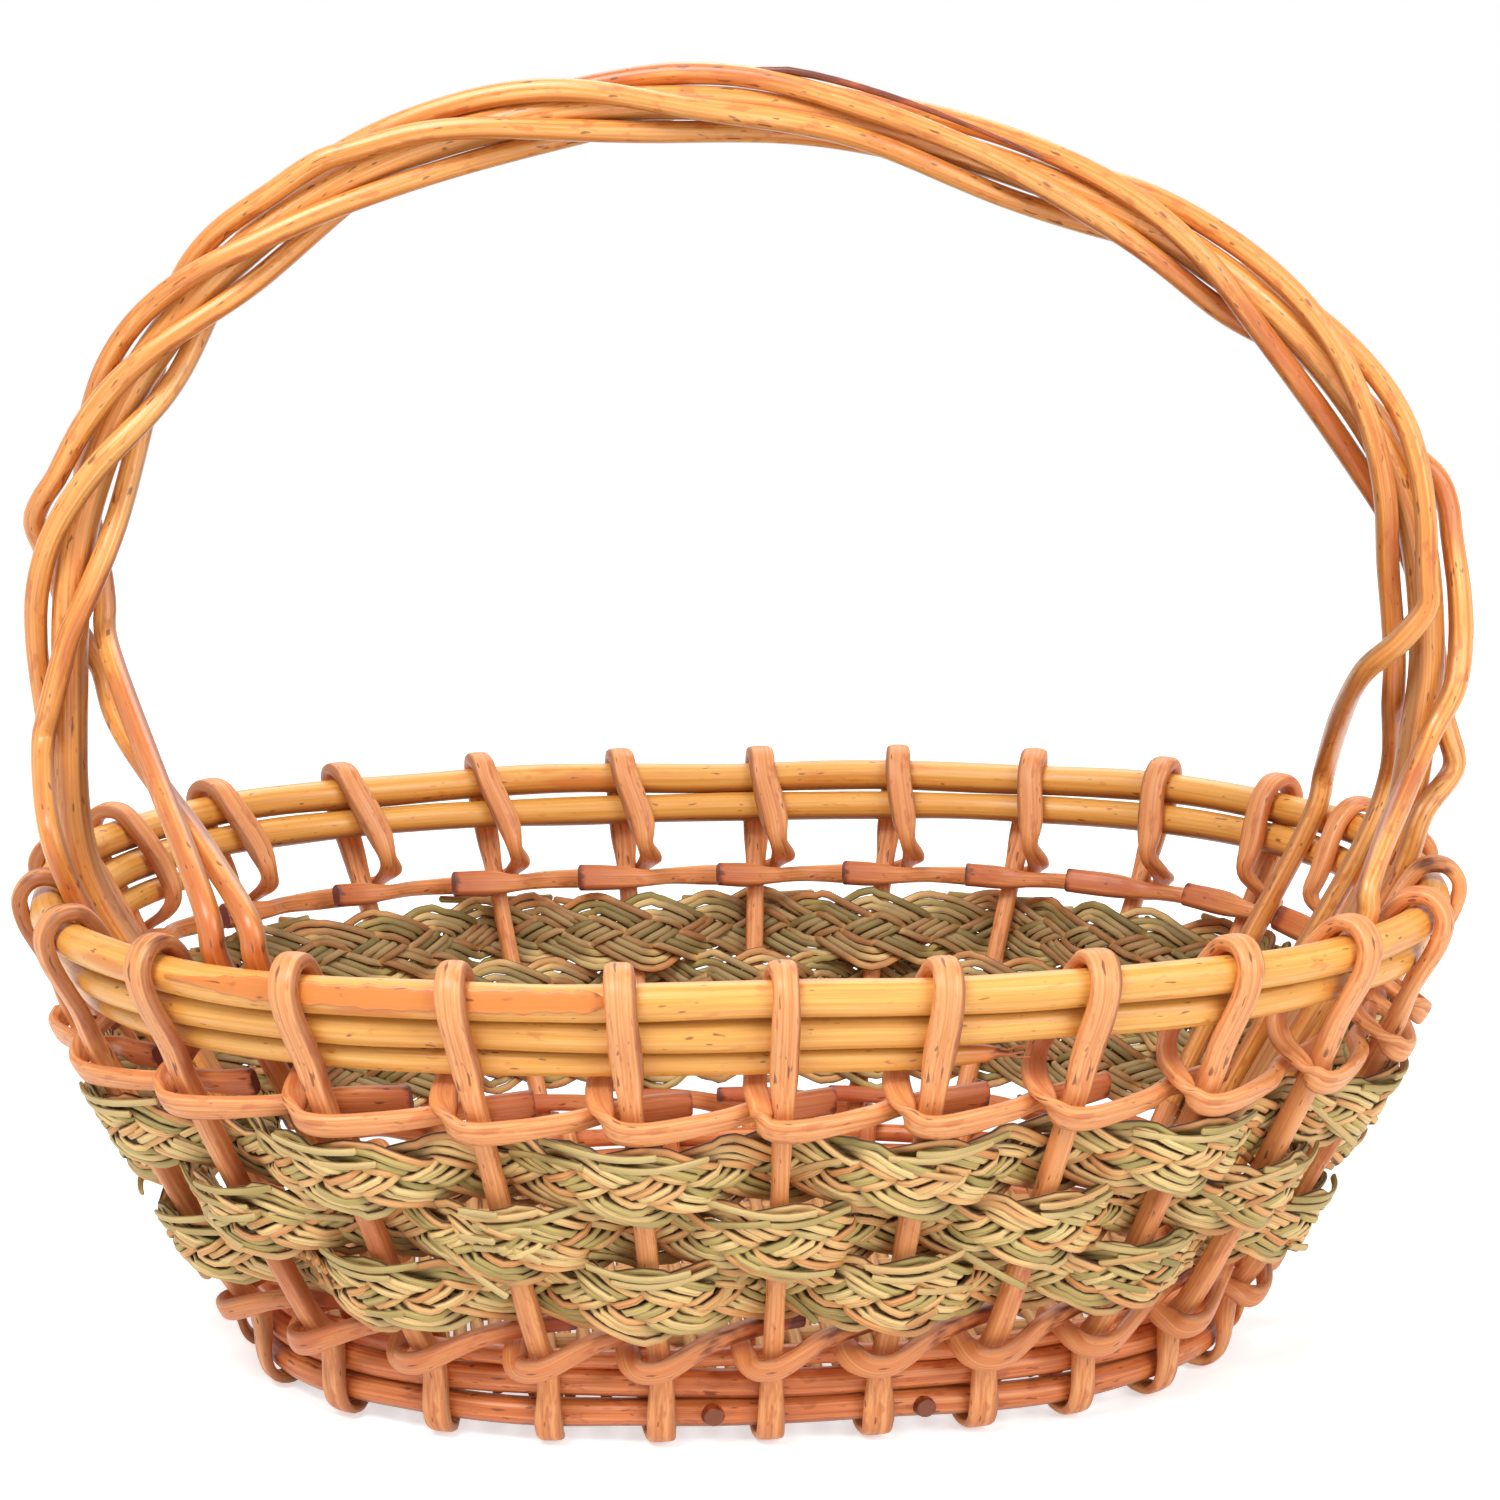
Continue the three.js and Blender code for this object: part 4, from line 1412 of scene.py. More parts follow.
    def rod(self, index: int) -> Rod:
        """Lays one upright.

        Args:
            index: Its number round the rim, from 0.

        Returns:
            An open rod.
        """
        rng = np.random.default_rng(self.seed + index)
        place = self.wall.upright_place(index)
        pitch = self.wall.upright_place(index + 1) - place
        backs = self.turn_back + self.turn_spread * rng.normal(size=2)
        ends = self.tail_past_next + self.longest_end * rng.random(2) ** 2
        stops = self.stops(pitch, backs, (ends[0] / 2 + self.foot_past, ends[1]))
        scale = np.array([self.wall_scale(z) for z in stops[:, 2]])
        places = place + stops[:, 0] / scale
        points = self.wall.point(places, stops[:, 1], stops[:, 2])
        _, out, up = self.wall.axes(places, stops[:, 2])
        face = unit_rows(out * stops[:, 5:6] + up * stops[:, 6:7])
        line = SmoothLine(np.hstack([points, stops[:, 3:5], face]))
        rows = line.spaced(self.step)
        share = np.linspace(0, 1, len(rows))
        run = share * line.length
        own_width = self.slimness + self.width_spread * rng.normal()
        swelling = own_width + wander(share, rng, self.swell, (3, 7, 12, 19))
        foot = np.clip(1.4 - run / self.red_foot, 0, 1)
        near_end = np.minimum(run, line.length - run)
        red, rotten = (np.clip(1 - near_end / size, 0, 1)
                       for size in (self.red_end, self.rotten_end))
        over = (rows[:, 2] - self.wall.sizes.rim_upper_z) / self.wall.sizes.band_out
        bark = (self.FOOT_BARK[index in self.torn_feet] * foot
                + np.clip(over, 0, 1) * self.HEAD_BARK[index in self.torn_heads])
        return Rod(points=rows[:, :3], half_wide=rows[:, 3] * swelling,
                   half_thick=rows[:, 4] * (self.WIDTH_AND_THICKNESS - swelling),
                   face=unit_rows(rows[:, 5:8]), tone=rng.random(),
                   flush=np.clip(0.4 * foot + 0.8 * red, 0, 1), bark=bark + 0.55 * rotten)

    def build(self) -> None:
        """Makes and settles every upright."""
        material = UPRIGHT_FINISH.build()
        for index in range(self.wall.sizes.upright_count):
            number = f"{index + 1:02d}"
            make_rods(f"stake_{number}", [self.rod(index)], material, Slot.UPRIGHT,
                      f"upright_{number}", roundness=self.roundness)


PLAIT_SOCKETS = {
    "Strands": "Int", "Stems": "Int", "Period": "Float", "Strand Share": "Float",
    "Over And Under": "Float", "Looseness": "Float", "Unevenness": "Float",
    "Seed": "Float"}


@dataclass
class PlaitedRows:
    """Three rows of flat four-strand plait, woven in and out of the uprights."""

    wall: OvalWall
    strands: int = 4
    stems: int = 4
    period: float = 78.0
    steps_in_period: int = 36
    strand_share: float = 0.38
    stem_half_width: float = 1.3
    stem_half_thick: float = 0.85
    over_under: float = 2.0
    looseness: float = 1.0
    unevenness: float = 0.5
    stray_length: float = 26.0
    lobe_ride: float = 1.6
    lobe: float = 13.6
    neck: float = 11.6
    sides: int = 8
    roundness: float = 0.8
    seed: int = 5

    # Height of a strand's middle over one turn: it folds at the top and at the bottom
    FOLDS = ((0.0, 1.0), (0.05, 0.93), (0.45, -0.93), (0.5, -1.0), (0.55, -0.93),
             (0.95, 0.93), (1.0, 1.0))
    # Level of a strand over one turn: over and under the three that it crosses
    LEVELS = ((0.0, 0.0), (0.09, 1.0), (0.16, 1.0), (0.215, -1.0), (0.285, -1.0),
              (0.34, 1.0), (0.41, 1.0), (0.5, 0.0), (0.59, -1.0), (0.66, -1.0),
              (0.715, 1.0), (0.785, 1.0), (0.84, -1.0), (0.91, -1.0), (1.0, 0.0))
    # Which way a strand runs over one turn: down, then up
    WAYS = ((0.0, 0.0), (0.06, -1.0), (0.44, -1.0), (0.5, 0.0), (0.56, 1.0), (0.94, 1.0),
            (1.0, 0.0))
    # How fast two strands that cross close in on each other, in reaches a turn
    CLOSING = 8.0
    # How far apart the noise of two stems is read, and in metres their grain
    APART = 7.31
    STEM_SHIFT = 1.7
    # Above any count of folds, and of labels made from folds
    MOST_FOLDS = 500.0
    MOST_LABELS = 100000.0

    @cached_property
    def tree(self) -> Tree:
        """The tree that plaits stems along a row's middle line."""
        graph = start_tree("Flat plait along a guide", PLAIT_SOCKETS | SWEEP_SOCKETS,
                           run="FLOAT", spread="FLOAT", wall_up="FLOAT_VECTOR",
                           wall_out="FLOAT_VECTOR")
        graph.add(
            ("amount", MATH, "MULTIPLY", "Strands", "Stems"),
            ("Geometry", "GeometryNodeMeshToCurve", None, "Geometry"),
            (("Geometry", "index"), "GeometryNodeDuplicateElements",
             {"domain": "SPLINE"}, {"Geometry": "Geometry", "Amount": "amount"}))
        graph.capture("FLOAT", "Geometry", "index")
        graph.add(
            ("strands before", MATH, "DIVIDE", "index", "Stems"),
            ("strand", MATH, "FLOOR", "strands before"),
            ("stem", MATH, "FLOORED_MODULO", "index", "Stems"),
            ("turns", MATH, "DIVIDE", "run", "Period"),
            ("start", MATH, "DIVIDE", "strand", "Strands"),
            ("all turns", MATH, "ADD", "turns", "start"),
            ("phase", MATH, "FRACT", "all turns"))
        self.shape(graph, "height", "phase", self.FOLDS)
        self.shape(graph, "way", "phase", self.WAYS)
        graph.add(
            ("last", MATH, "SUBTRACT", "Stems", 1.0),
            ("from middle", MATH, "MULTIPLY_ADD", "last", -0.5, "stem"),
            ("stem share", MATH, "DIVIDE", "Strand Share", "Stems"),
            ("half beside", MATH, "MULTIPLY", "from middle", "stem share"),
            ("beside", MATH, "MULTIPLY", "half beside", 2.0),
            ("reach", MATH, "SUBTRACT", 1.0, "Strand Share"),
            ("lifted", MATH, "MULTIPLY_ADD", "height", "reach", "beside"),
            # A stem at the strand's side meets the strand that it crosses sooner or later
            ("wide", MATH, "MULTIPLY", "way", "beside"),
            ("rate", MATH, "MULTIPLY", "reach", self.CLOSING),
            ("sooner", MATH, "DIVIDE", "wide", "rate"),
            ("own turns", MATH, "ADD", "phase", "sooner"),
            ("own phase", MATH, "FRACT", "own turns"))
        self.shape(graph, "level", "own phase", self.LEVELS)
        graph.add(
            # Each stem strays a little from its strand, by a noise that runs along it
            ("slow", MATH, "DIVIDE", "run", self.stray_length * MM),
            ("own line", MATH, "MULTIPLY", "index", self.APART),
            ("spot", COMBINE, None, "slow", "own line", "Seed"),
            ((None, "noise"), "ShaderNodeTexNoise", None,
             {"Vector": "spot", "Scale": 1.0, "Detail": 1.0}),
            # Between two folds it also keeps a slant and a place of its own
            ("centred", VECTOR, "SUBTRACT", "noise", (0.5, 0.5, 0.5)),
            ("stray", VECTOR, "SCALE", "centred", None, None, "Looseness"),
            ("halves", MATH, "MULTIPLY", "all turns", 2.0),
            ("fold", MATH, "FLOOR", "halves"),
            ("label", MATH, "MULTIPLY_ADD", "index", self.MOST_FOLDS, "fold"),
            ("seeded label", MATH, "MULTIPLY_ADD", "Seed", self.MOST_LABELS, "label"),
            ("own place", "FunctionNodeRandomValue", {"data_type": "FLOAT_VECTOR"},
             {"Min": (-1.0, -1.0, -1.0), "Max": (1.0, 1.0, 1.0), "ID": "seeded label"}),
            ("thrown", VECTOR, "SCALE", "own place", None, None, "Unevenness"),
            ((None, None, "own slant"), SEPARATE, None, "thrown"),
            ("way along", MATH, "FRACT", "halves"),
            ("from half", MATH, "MULTIPLY_ADD", "way along", 2.0, -1.0),
            ("slant", MATH, "MULTIPLY", "from half", "own slant"),
            ("slanted", COMBINE, None, "slant"),
            ("swung", VECTOR, "ADD", "thrown", "slanted"),
            ("in all", VECTOR, "ADD", "stray", "swung"),
            (("stray up", "stray out"), SEPARATE, None, "in all"),
            ("rise", MATH, "MULTIPLY_ADD", "lifted", "spread", "stray up"),
            ("stand", MATH, "MULTIPLY_ADD", "level", "Over And Under", "stray out"),
            ("upward", VECTOR, "SCALE", "wall_up", None, None, "rise"),
            ("outward", VECTOR, "SCALE", "wall_out", None, None, "stand"),
            ("offset", VECTOR, "ADD", "upward", "outward"),
            ("apart", MATH, "MULTIPLY_ADD", "index", self.STEM_SHIFT, "run"),
            ("Geometry", "GeometryNodeSetPosition", None,
             {"Geometry": "Geometry", "Offset": "offset"}),
            ("tint", "FunctionNodeRandomValue", {"data_type": "FLOAT"},
             {"ID": "index", "Seed": 3}))
        graph.store("FLOAT", level="level", tone="tint", along="apart")
        return graph.end_curves()

    def shape(self, graph: Graph, name: str, phase: str,
              stops: tuple[Pair, ...]) -> None:
        """Adds straight runs that give a value from -1 to 1 for each share of a turn.

        Args:
            graph: The tree.
            name: The value's name.
            phase: Name of the share of a turn, from 0 to 1.
            stops: Share and value of each stop.
        """
        graph.add(("curve", "ShaderNodeFloatCurve", None, {"Value": phase}),
                  (name, MATH, "MULTIPLY_ADD", "curve", 2.0, -1.0))
        mapping = graph.known["curve"].node.mapping
        points = mapping.curves[0].points
        while len(points) < len(stops):
            points.new(0.5, 0.5)
        for point, (share, value) in zip(points, stops):
            point.location = (share, 0.5 + 0.5 * value)
            point.handle_type = "VECTOR"
        mapping.update()

    def row_out(self, row: int, index: Array) -> Array:
        """Finds how far a row's middle stands out.

        Args:
            row: The row's number, from 0 at the bottom.
            index: Places, counted in uprights.

        Returns:
            The distance out at each place.
        """
        sizes = self.wall.sizes
        first = Side.INSIDE.value if row % 2 == 0 else Side.OUTSIDE.value
        return sizes.leg_out + first * sizes.plait_swing * np.cos(np.pi * index)

    def guide(self, row: int) -> tuple[bpy.types.Mesh, float]:
        """Lays a row's middle line.

        Args:
            row: Its number, from 0 at the bottom.

        Returns:
            The guide mesh and one turn of the plait in metres.
        """
        sizes = self.wall.sizes
        fine = np.arange(1001) / 1000 * sizes.upright_count
        z = sizes.row_z[row]
        line = self.wall.point(self.wall.upright_place(fine), self.row_out(row, fine), z)
        lengths = np.concatenate(
            [[0.0], np.cumsum(np.linalg.norm(np.diff(line, axis=0), axis=1))])
        turns = round(lengths[-1] / self.period)
        count = turns * self.steps_in_period
        run = np.arange(count) / count * lengths[-1]
        index = np.interp(run, lengths, fine)
        place = self.wall.upright_place(index)
        out = self.row_out(row, index)
        levels = z + self.lobe_ride * (out - sizes.leg_out) / sizes.plait_swing
        points = self.wall.point(place, out, levels)
        spread = self.neck + (self.lobe - self.neck) * np.abs(np.cos(np.pi * index)) ** 0.6
        _, wall_out, wall_up = self.wall.axes(place, levels)
        ahead = np.roll(points, -1, axis=0) - np.roll(points, 1, axis=0)
        face = unit_rows(np.cross(unit_rows(ahead), wall_up))
        face *= np.sign(np.sum(face * wall_out, axis=1, keepdims=True))
        rod = Rod(points, self.stem_half_width, self.stem_half_thick, face, closed=True)
        mesh = guide_mesh(f"plait_guide_{row}", [rod])
        set_columns(mesh, {"run": run * MM, "spread": spread * MM, "wall_up": wall_up,
                           "wall_out": face})
        return mesh, lengths[-1] / turns * MM

    def build(self) -> None:
        """Makes and settles the rows."""
        material = PLAIT_FINISH.build()
        for row, name in enumerate(("lower", "middle", "upper")):
            guide, period = self.guide(row)
            piece = grow(f"rush_row_{name}", guide, self.tree, {
                "Strands": self.strands, "Stems": self.stems, "Period": period,
                "Strand Share": self.strand_share, "Over And Under": self.over_under * MM,
                "Looseness": self.looseness * MM, "Unevenness": self.unevenness * MM,
                "Seed": float(self.seed + 10 * row), "Sides": self.sides,
                "Roundness": self.roundness, "Material": material})
            report(piece, Slot.PLAIT, f"plait_row_{name}")
        LooseRush(self).build(material)


@dataclass
class LooseRush:
    """Cut ends and stray stems that stand out of the plaited rows."""

    rows: PlaitedRows
    count: int = 110
    shortest: float = 9.0
    longest: float = 26.0
    steepest: float = 0.5
    highest: float = 8.0
    lift: float = 2.4
    flare: float = 2.2
    wide_share: float = 0.9
    thick_share: float = 0.8
    float_rises: tuple[float, ...] = (11.6, 9.0)
    float_span: Pair = (0.5, 0.85)
    float_shift: float = 0.25
    float_rise: float = 0.5
    float_tilt: float = 0.06
    float_flare: float = 0.4
    tuft_length: Pair = (7.0, 13.0)
    tuft_tilt: Pair = (-0.4, 0.5)
    tuft_spread: Pair = (5.0, 3.5)
    seed: int = 401

    # Tufts of cut ends: row, x of the middle, height over the row, how many, tint
    TUFTS = ((0, -124.0, 4.0, 11, 0.97), (1, -76.0, 5.0, 6, 0.5), (0, 112.0, -3.0, 5, 0.8),
             (2, 178.0, 6.0, 4, 0.3), (2, -176.0, 2.0, 4, 0.4))

    def stem(self, row: int, index: float, rise: float, tilt: float, length: float,
             tone: float, flare: float) -> Rod:
        """Lays one short stem on the outside of a row.

        Args:
            row: The row's number, from 0 at the bottom.
            index: Where it is, counted in uprights.
            rise: Height over the row's middle.
            tilt: Its slope, in radians.
            length: How long it is.
            tone: Its own tint.
            flare: How far its end stands off the row.

        Returns:
            An open rod.
        """
        wall, sizes = self.rows.wall, self.rows.wall.sizes
        share = np.linspace(0, 1, 9)
        run = length * share
        indices = index + run * math.cos(tilt) / wall.pitch
        z = sizes.row_z[row] + rise + run * math.sin(tilt)
        out = self.rows.row_out(row, indices) + self.lift + flare * share**2
        place = wall.upright_place(indices)
        return Rod(wall.point(place, out, z),
                   self.rows.stem_half_width * self.wide_share,
                   self.rows.stem_half_thick * self.thick_share,
                   wall.axes(place, z)[1], tone=tone)

    def strays(self) -> list[Rod]:
        """Lays single stems all round, at slopes like a plait's own.

        Returns:
            Open rods.
        """
        rng = np.random.default_rng(self.seed)
        wall = self.rows.wall
        made = []
        for _ in range(self.count):
            tilt = math.copysign(rng.uniform(0.1, self.steepest), rng.normal())
            made.append(self.stem(
                int(rng.integers(wall.sizes.row_count)),
                rng.uniform(0, wall.sizes.upright_count),
                rng.uniform(-self.highest, self.highest), tilt,
                rng.uniform(self.shortest, self.longest), rng.random(),
                self.flare * rng.random()))
        return made

    def floats(self) -> list[Rod]:
        """Lays long stems along the top edge of each lobe that stands outside.

        Returns:
            Open rods.
        """
        rng = np.random.default_rng(self.seed + 2)
        sizes = self.rows.wall.sizes
        made = []
        for row in range(sizes.row_count):
            for lobe in range(1 - row % 2, sizes.upright_count, 2):
                for rise in self.float_rises:
                    span = rng.uniform(*self.float_span)
                    middle = lobe + rng.uniform(-self.float_shift, self.float_shift)
                    made.append(self.stem(
                        row, middle - span / 2,
                        rise + rng.uniform(-self.float_rise, self.float_rise),
                        rng.uniform(-self.float_tilt, self.float_tilt),
                        span * self.rows.wall.pitch, 0.25 + 0.5 * rng.random(),
                        self.float_flare))
        return made

    def tufts(self) -> list[Rod]:
        """Lays the bunches of cut ends where a plait was begun or ended.

        Returns:
            Open rods.
        """
        rng = np.random.default_rng(self.seed + 1)
        wall = self.rows.wall
        beside, above = self.tuft_spread
        made = []
        for row, x, rise, count, tone in self.TUFTS:
            place = wall.front_place(x, wall.sizes.row_z[row])
            for _ in range(count):
                made.append(self.stem(
                    row, wall.index_at(place + rng.normal() * beside),
                    rise + rng.normal() * above, rng.uniform(*self.tuft_tilt),
                    rng.uniform(*self.tuft_length), tone, self.flare))
        return made

    def build(self, material: Material) -> None:
        """Makes and settles the loose stems."""
        rods = self.strays() + self.floats() + self.tufts()
        make_rods("rush_loose_ends", rods, material, Slot.PLAIT, sides=self.rows.sides,
                  roundness=self.rows.roundness)


@dataclass(frozen=True)
class StrandEnd:
    """Where one end of a strand runs.

    foot counts uprights from the first, lift is its height over the rim on the way in and
    leave is the share of the bow where it leaves the winding. If it first goes on round
    the core, detour is a share of the bow, a side counted in quarter turns from the front
    and how far clear of the winding it stands.
    """

    foot: float
    lift: float
    leave: float
    detour: tuple[float, float, float] | None = None


@dataclass
class TwistedHandle:
    """The bow: a core rod and four rods wound round it, with their feet in the wall."""

    wall: OvalWall
    core_r: float = 5.3
    strand_r: float = 3.4
    wind_gap: float = 1.1
    foot_gap: float = 0.7
    guide_in: float = 3.0
    rise: float = 221.8
    foot_end_z: float = 46.0
    foot_spread: float = 5.0
    foot_bend: float = 0.55
    foot_top: float = 2.0
    foot_slope: float = 0.5
    middle_y: float = -9.5
    skew: float = -0.055
    release: float = 0.06
    rejoin: float = 0.93
    core_feet: Pair = (-0.52, 12.49)
    strand_steps: int = 80
    step: float = 3.0
    slimming: float = 0.1
    thin_between: Pair = (0.12, 0.88)
    thin_ease: float = 0.26
    snug: float = 0.9
    sway: float = 0.22
    twig_shares: Pair = (0.5, 0.625)
    twig_angles: Pair = (1.56, 1.85)
    twig_lifts: Pair = (-2.2, 0.4)
    twig_steps: int = 14
    seed: int = 71

    # The bow's route, as shares of the rim's half length and of the handle's rise
    BOW = ((-0.965, 0.245), (-0.935, 0.49), (-0.815, 0.71), (-0.59, 0.89), (-0.3, 0.985),
           (0, 1), (0.31, 0.94), (0.59, 0.84), (0.81, 0.69), (0.95, 0.505), (0.99, 0.31),
           (0.98, 0.175))
    LEFT = (StrandEnd(0.23, 18, 0.06), StrandEnd(-0.8, 16, 0.06),
            StrandEnd(2.62, 9, 0.105, (0.07, 1, 2.6)), StrandEnd(2.3, 9, 0.105))
    RIGHT = (StrandEnd(13.31, 18, 0.93), StrandEnd(14.3, 11, 0.885, (0.915, 1, 8)),
             StrandEnd(10.53, 7, 0.9, (0.94, 4, 2.5)),
             StrandEnd(12.21, 16, 0.93, (0.955, 3, 2.6)))
    # Share of the bow's length at which one strand after another comes to the front
    FRONTS = (0.105, 0.16, 0.226, 0.293, 0.39, 0.479, 0.603, 0.71, 0.79, 0.869)
    # Where a strand was bent sharply: its number, share of the bow and how far it juts
    KINKS = ((2, 0.145, 4.5), (2, 0.842, 5.5), (0, 0.33, 1.8), (3, 0.53, 1.8))
    KINK_LENGTH = 0.022
    # A rod's length with its feet, over its length above the rim
    WITH_FEET = 1.3

    def foot_points(self, foot: float, out: float, way: float = 0.0) -> Array:
        """Points of a foot that goes down inside the wall.

        Args:
            foot: Where it goes down, counted in uprights.
            out: Distance out of the hoops' middle.
            way: 1 or -1 if the foot's end runs on along the wall, or 0.

        Returns:
            Three points, lowest first.
        """
        low, rim = self.foot_end_z, self.wall.sizes.rim_upper_z
        z = np.array([low, low + self.foot_bend * (rim - low), rim + self.foot_top])
        spread = way * self.foot_spread * np.array([1.0, 0.5, 0.0])
        return self.wall.point(self.wall.upright_place(foot) + spread, out, z)

    @cached_property
    def bow(self) -> SmoothLine:
        """The core's own line."""
        sizes = self.wall.sizes
        out = -(sizes.rim_upper_r + self.foot_gap + self.core_r)
        shape = np.array(self.BOW) * [sizes.rim_half_length, self.rise]
        middle = np.stack([shape[:, 0], self.middle_y + shape[:, 0] * self.skew,
                           sizes.rim_upper_z + shape[:, 1]], axis=1)
        return SmoothLine(np.vstack([
            self.foot_points(self.core_feet[0], out), middle,
            self.foot_points(self.core_feet[1], out)[::-1]]))

    def bow_share(self, share: Array) -> Array:
        """Counts along the whole core.

        Args:
            share: Shares of the stretch above the rim.

        Returns:
            Shares of the core's length.
        """
        height = self.wall.sizes.rim_upper_z - self.foot_end_z
        foot = height / math.cos(math.atan(self.foot_slope))
        start = foot / self.bow.length
        return start + (1 - 2 * start) * np.asarray(share, float)

    def over_top(self, share: Array) -> Array:
        """Finds how much of the bow's thin upper stretch is in a place.

        Args:
            share: Shares of the stretch above the rim.

        Returns:
            From 0 to 1 at each share.
        """
        start, end = self.thin_between
        rise = (np.clip((share - start) / self.thin_ease, 0, 1)
                * np.clip((end - share) / self.thin_ease, 0, 1))
        return rise * rise * (3 - 2 * rise)

    def wind_r(self, share: Array) -> Array:
        """Finds how far out a strand is wound.

        Args:
            share: Shares of the stretch above the rim.

        Returns:
            Distances from the core's middle to the strand's.
        """
        size = self.core_r + self.strand_r
        slim = (size * self.slimming + self.snug) * self.over_top(share)
        return size + self.wind_gap - slim

    def wind_angle(self, strand: int, share: Array) -> Array:
        """Finds where a strand lies round the core.

        Args:
            strand: Its number, from 0.
            share: Shares of the stretch above the rim.

        Returns:
            Angles, 0 at the front, growing towards the inside.
        """
        shares = [2 * self.release - self.FRONTS[0], *self.FRONTS, self.rejoin]
        counts = [float(k - 1) for k in range(len(shares))]
        counts[-1] -= 0.5
        count = np.interp(share, shares, counts)
        return np.mod((count - strand) * 2 * np.pi / len(self.LEFT), 2 * np.pi)

    def beside(self, share: Array, angle: Array,
               distance: Array) -> Array:
        """Finds points beside the bow.

        Args:
            share: Shares of the stretch above the rim.
            angle: 0 at the front, growing towards the inside.
            distance: Distances from the core's middle.

        Returns:
            Points, one row each.
        """
        share, angle, distance = np.broadcast_arrays(
            *(np.asarray(v, float) for v in (share, angle, distance)))
        along = self.bow.tangent(self.bow_share(share))
        front = unit_rows(
            TO_FRONT - along * np.sum(TO_FRONT * along, axis=-1, keepdims=True))
        inner = unit_rows(np.cross(along, front))
        middle = self.bow.at(self.bow_share(share))[..., :3]
        return (middle + front * (np.cos(angle) * distance)[..., None]
                + inner * (np.sin(angle) * distance)[..., None])

    def strand_end(self, strand: int, end: StrandEnd, core_foot: float) -> Array:
        """Finds the stops of one end of a strand.

        Args:
            strand: Its number, from 0.
            end: Where it runs.
            core_foot: Where the core goes down on that side, counted in uprights.

        Returns:
            Points from its foot up to the core.
        """
        sizes = self.wall.sizes
        out = -(sizes.rim_upper_r + self.foot_gap + self.strand_r)
        place = self.wall.upright_place(np.array([end.foot]))
        stops = [self.foot_points(end.foot, out, math.copysign(1, end.foot - core_foot)),
                 self.wall.point(place, out - self.guide_in, sizes.rim_upper_z + end.lift)]
        if end.detour:
            share, quarter, clear = end.detour
            wind = self.core_r + self.wind_gap + self.strand_r
            angle = quarter * np.pi / 2
            between = (float(self.wind_angle(strand, end.leave)) + angle) / 2
            stops.append(self.beside([share], [angle], [wind + clear]))
            stops.append(self.beside([(end.leave + share) / 2], [between],
                                     [wind + clear / 2]))
        return np.vstack(stops)

    def strand_line(self, strand: int) -> SmoothLine:
        """Routes one strand from foot to foot.

        Args:
            strand: Its number, from 0.

        Returns:
            The strand's middle line.
        """
        left, right = self.LEFT[strand], self.RIGHT[strand]
        rng = np.random.default_rng(self.seed + 20 + strand)
        share = np.linspace(left.leave, right.leave, self.strand_steps + 1)
        near_end = np.minimum(share - left.leave, right.leave - share)
        inner = np.clip(near_end / self.release, 0, 1)
        angle = self.wind_angle(strand, share)
        angle = angle + inner * wander(share, rng, self.sway, (2, 5, 8))
        distance = self.wind_r(share)
        for number, place, jut in self.KINKS:
            if number == strand:
                distance = distance + jut * np.clip(
                    1 - np.abs(share - place) / self.KINK_LENGTH, 0, 1)
        return SmoothLine(np.vstack([
            self.strand_end(strand, left, self.core_feet[0]),
            self.beside(share, angle, distance),
            self.strand_end(strand, right, self.core_feet[1])[::-1]]))

    def lay(self, line: SmoothLine, radius: float, seed: int, swell: float,
            waves: tuple[int, ...]) -> tuple[dict[str, Array], np.random.Generator]:
        """Lays a rod along its line, slimmer towards the top of the bow.

        Args:
            line: Its middle line.
            radius: Half its thickness at the feet.
            seed: Its own random start.
            swell: Usual share by which its thickness swings.
            waves: How many waves that swing has.

        Returns:
            The rod's centre line, half width and face, and its random numbers.
        """
        rng = np.random.default_rng(seed)
        points = line.spaced(self.step)[:, :3]
        share = np.linspace(0, 1, len(points))
        slim = 1 - self.slimming * self.over_top(share * self.WITH_FEET
                                                 - (self.WITH_FEET - 1) / 2)
        radii = radius * slim * (1 + wander(share, rng, swell, waves))
        return {"points": points, "half_wide": radii, "face": TO_FRONT}, rng

    def strand(self, number: int) -> Rod:
        """Lays one strand as a rod, a little flat."""
        laid, rng = self.lay(self.strand_line(number), self.strand_r, self.seed + number,
                             0.05, (2, 5, 11, 17))
        return Rod(half_thick=laid["half_wide"] * 0.94, tone=rng.random(), **laid)

    def core(self) -> Rod:
        """Lays the core as a rod."""
        laid, _ = self.lay(self.bow, self.core_r, self.seed - 1, 0.03, (2, 5, 9))
        return Rod(half_thick=laid["half_wide"], tone=0.2, **laid)

    def twig(self) -> Rod:
        """Lays the thin dark twig, still in its bark, along the top of the bow.

        Returns:
            An open rod.
        """
        run = np.linspace(0, 1, self.twig_steps)
        share = np.linspace(*self.twig_shares, self.twig_steps)
        angle = np.linspace(*self.twig_angles, self.twig_steps) * np.pi
        hidden, shown = self.twig_lifts
        lift = (self.wind_r(share) + self.strand_r * (1 - self.slimming) + hidden
                + (shown - hidden) * np.clip(run * 6, 0, 1))
        return Rod(points=self.beside(share, angle, lift), half_wide=1.25 - 0.7 * run,
                   half_thick=1.1 - 0.6 * run, face=TO_FRONT, flush=1.0, bark=0.6)

    def build(self) -> None:
        """Makes and settles the handle's rods."""
        material = HANDLE_FINISH.build()
        make_rods("bow_core", [self.core()], material, Slot.HANDLE, "handle_core",
                  sides=20)
        for number in range(len(self.LEFT)):
            rods = [self.strand(number)] + ([self.twig()] if number == 0 else [])
            make_rods(f"bow_strand_{number + 1}", rods, material, Slot.HANDLE,
                      f"handle_strand_{number + 1}")


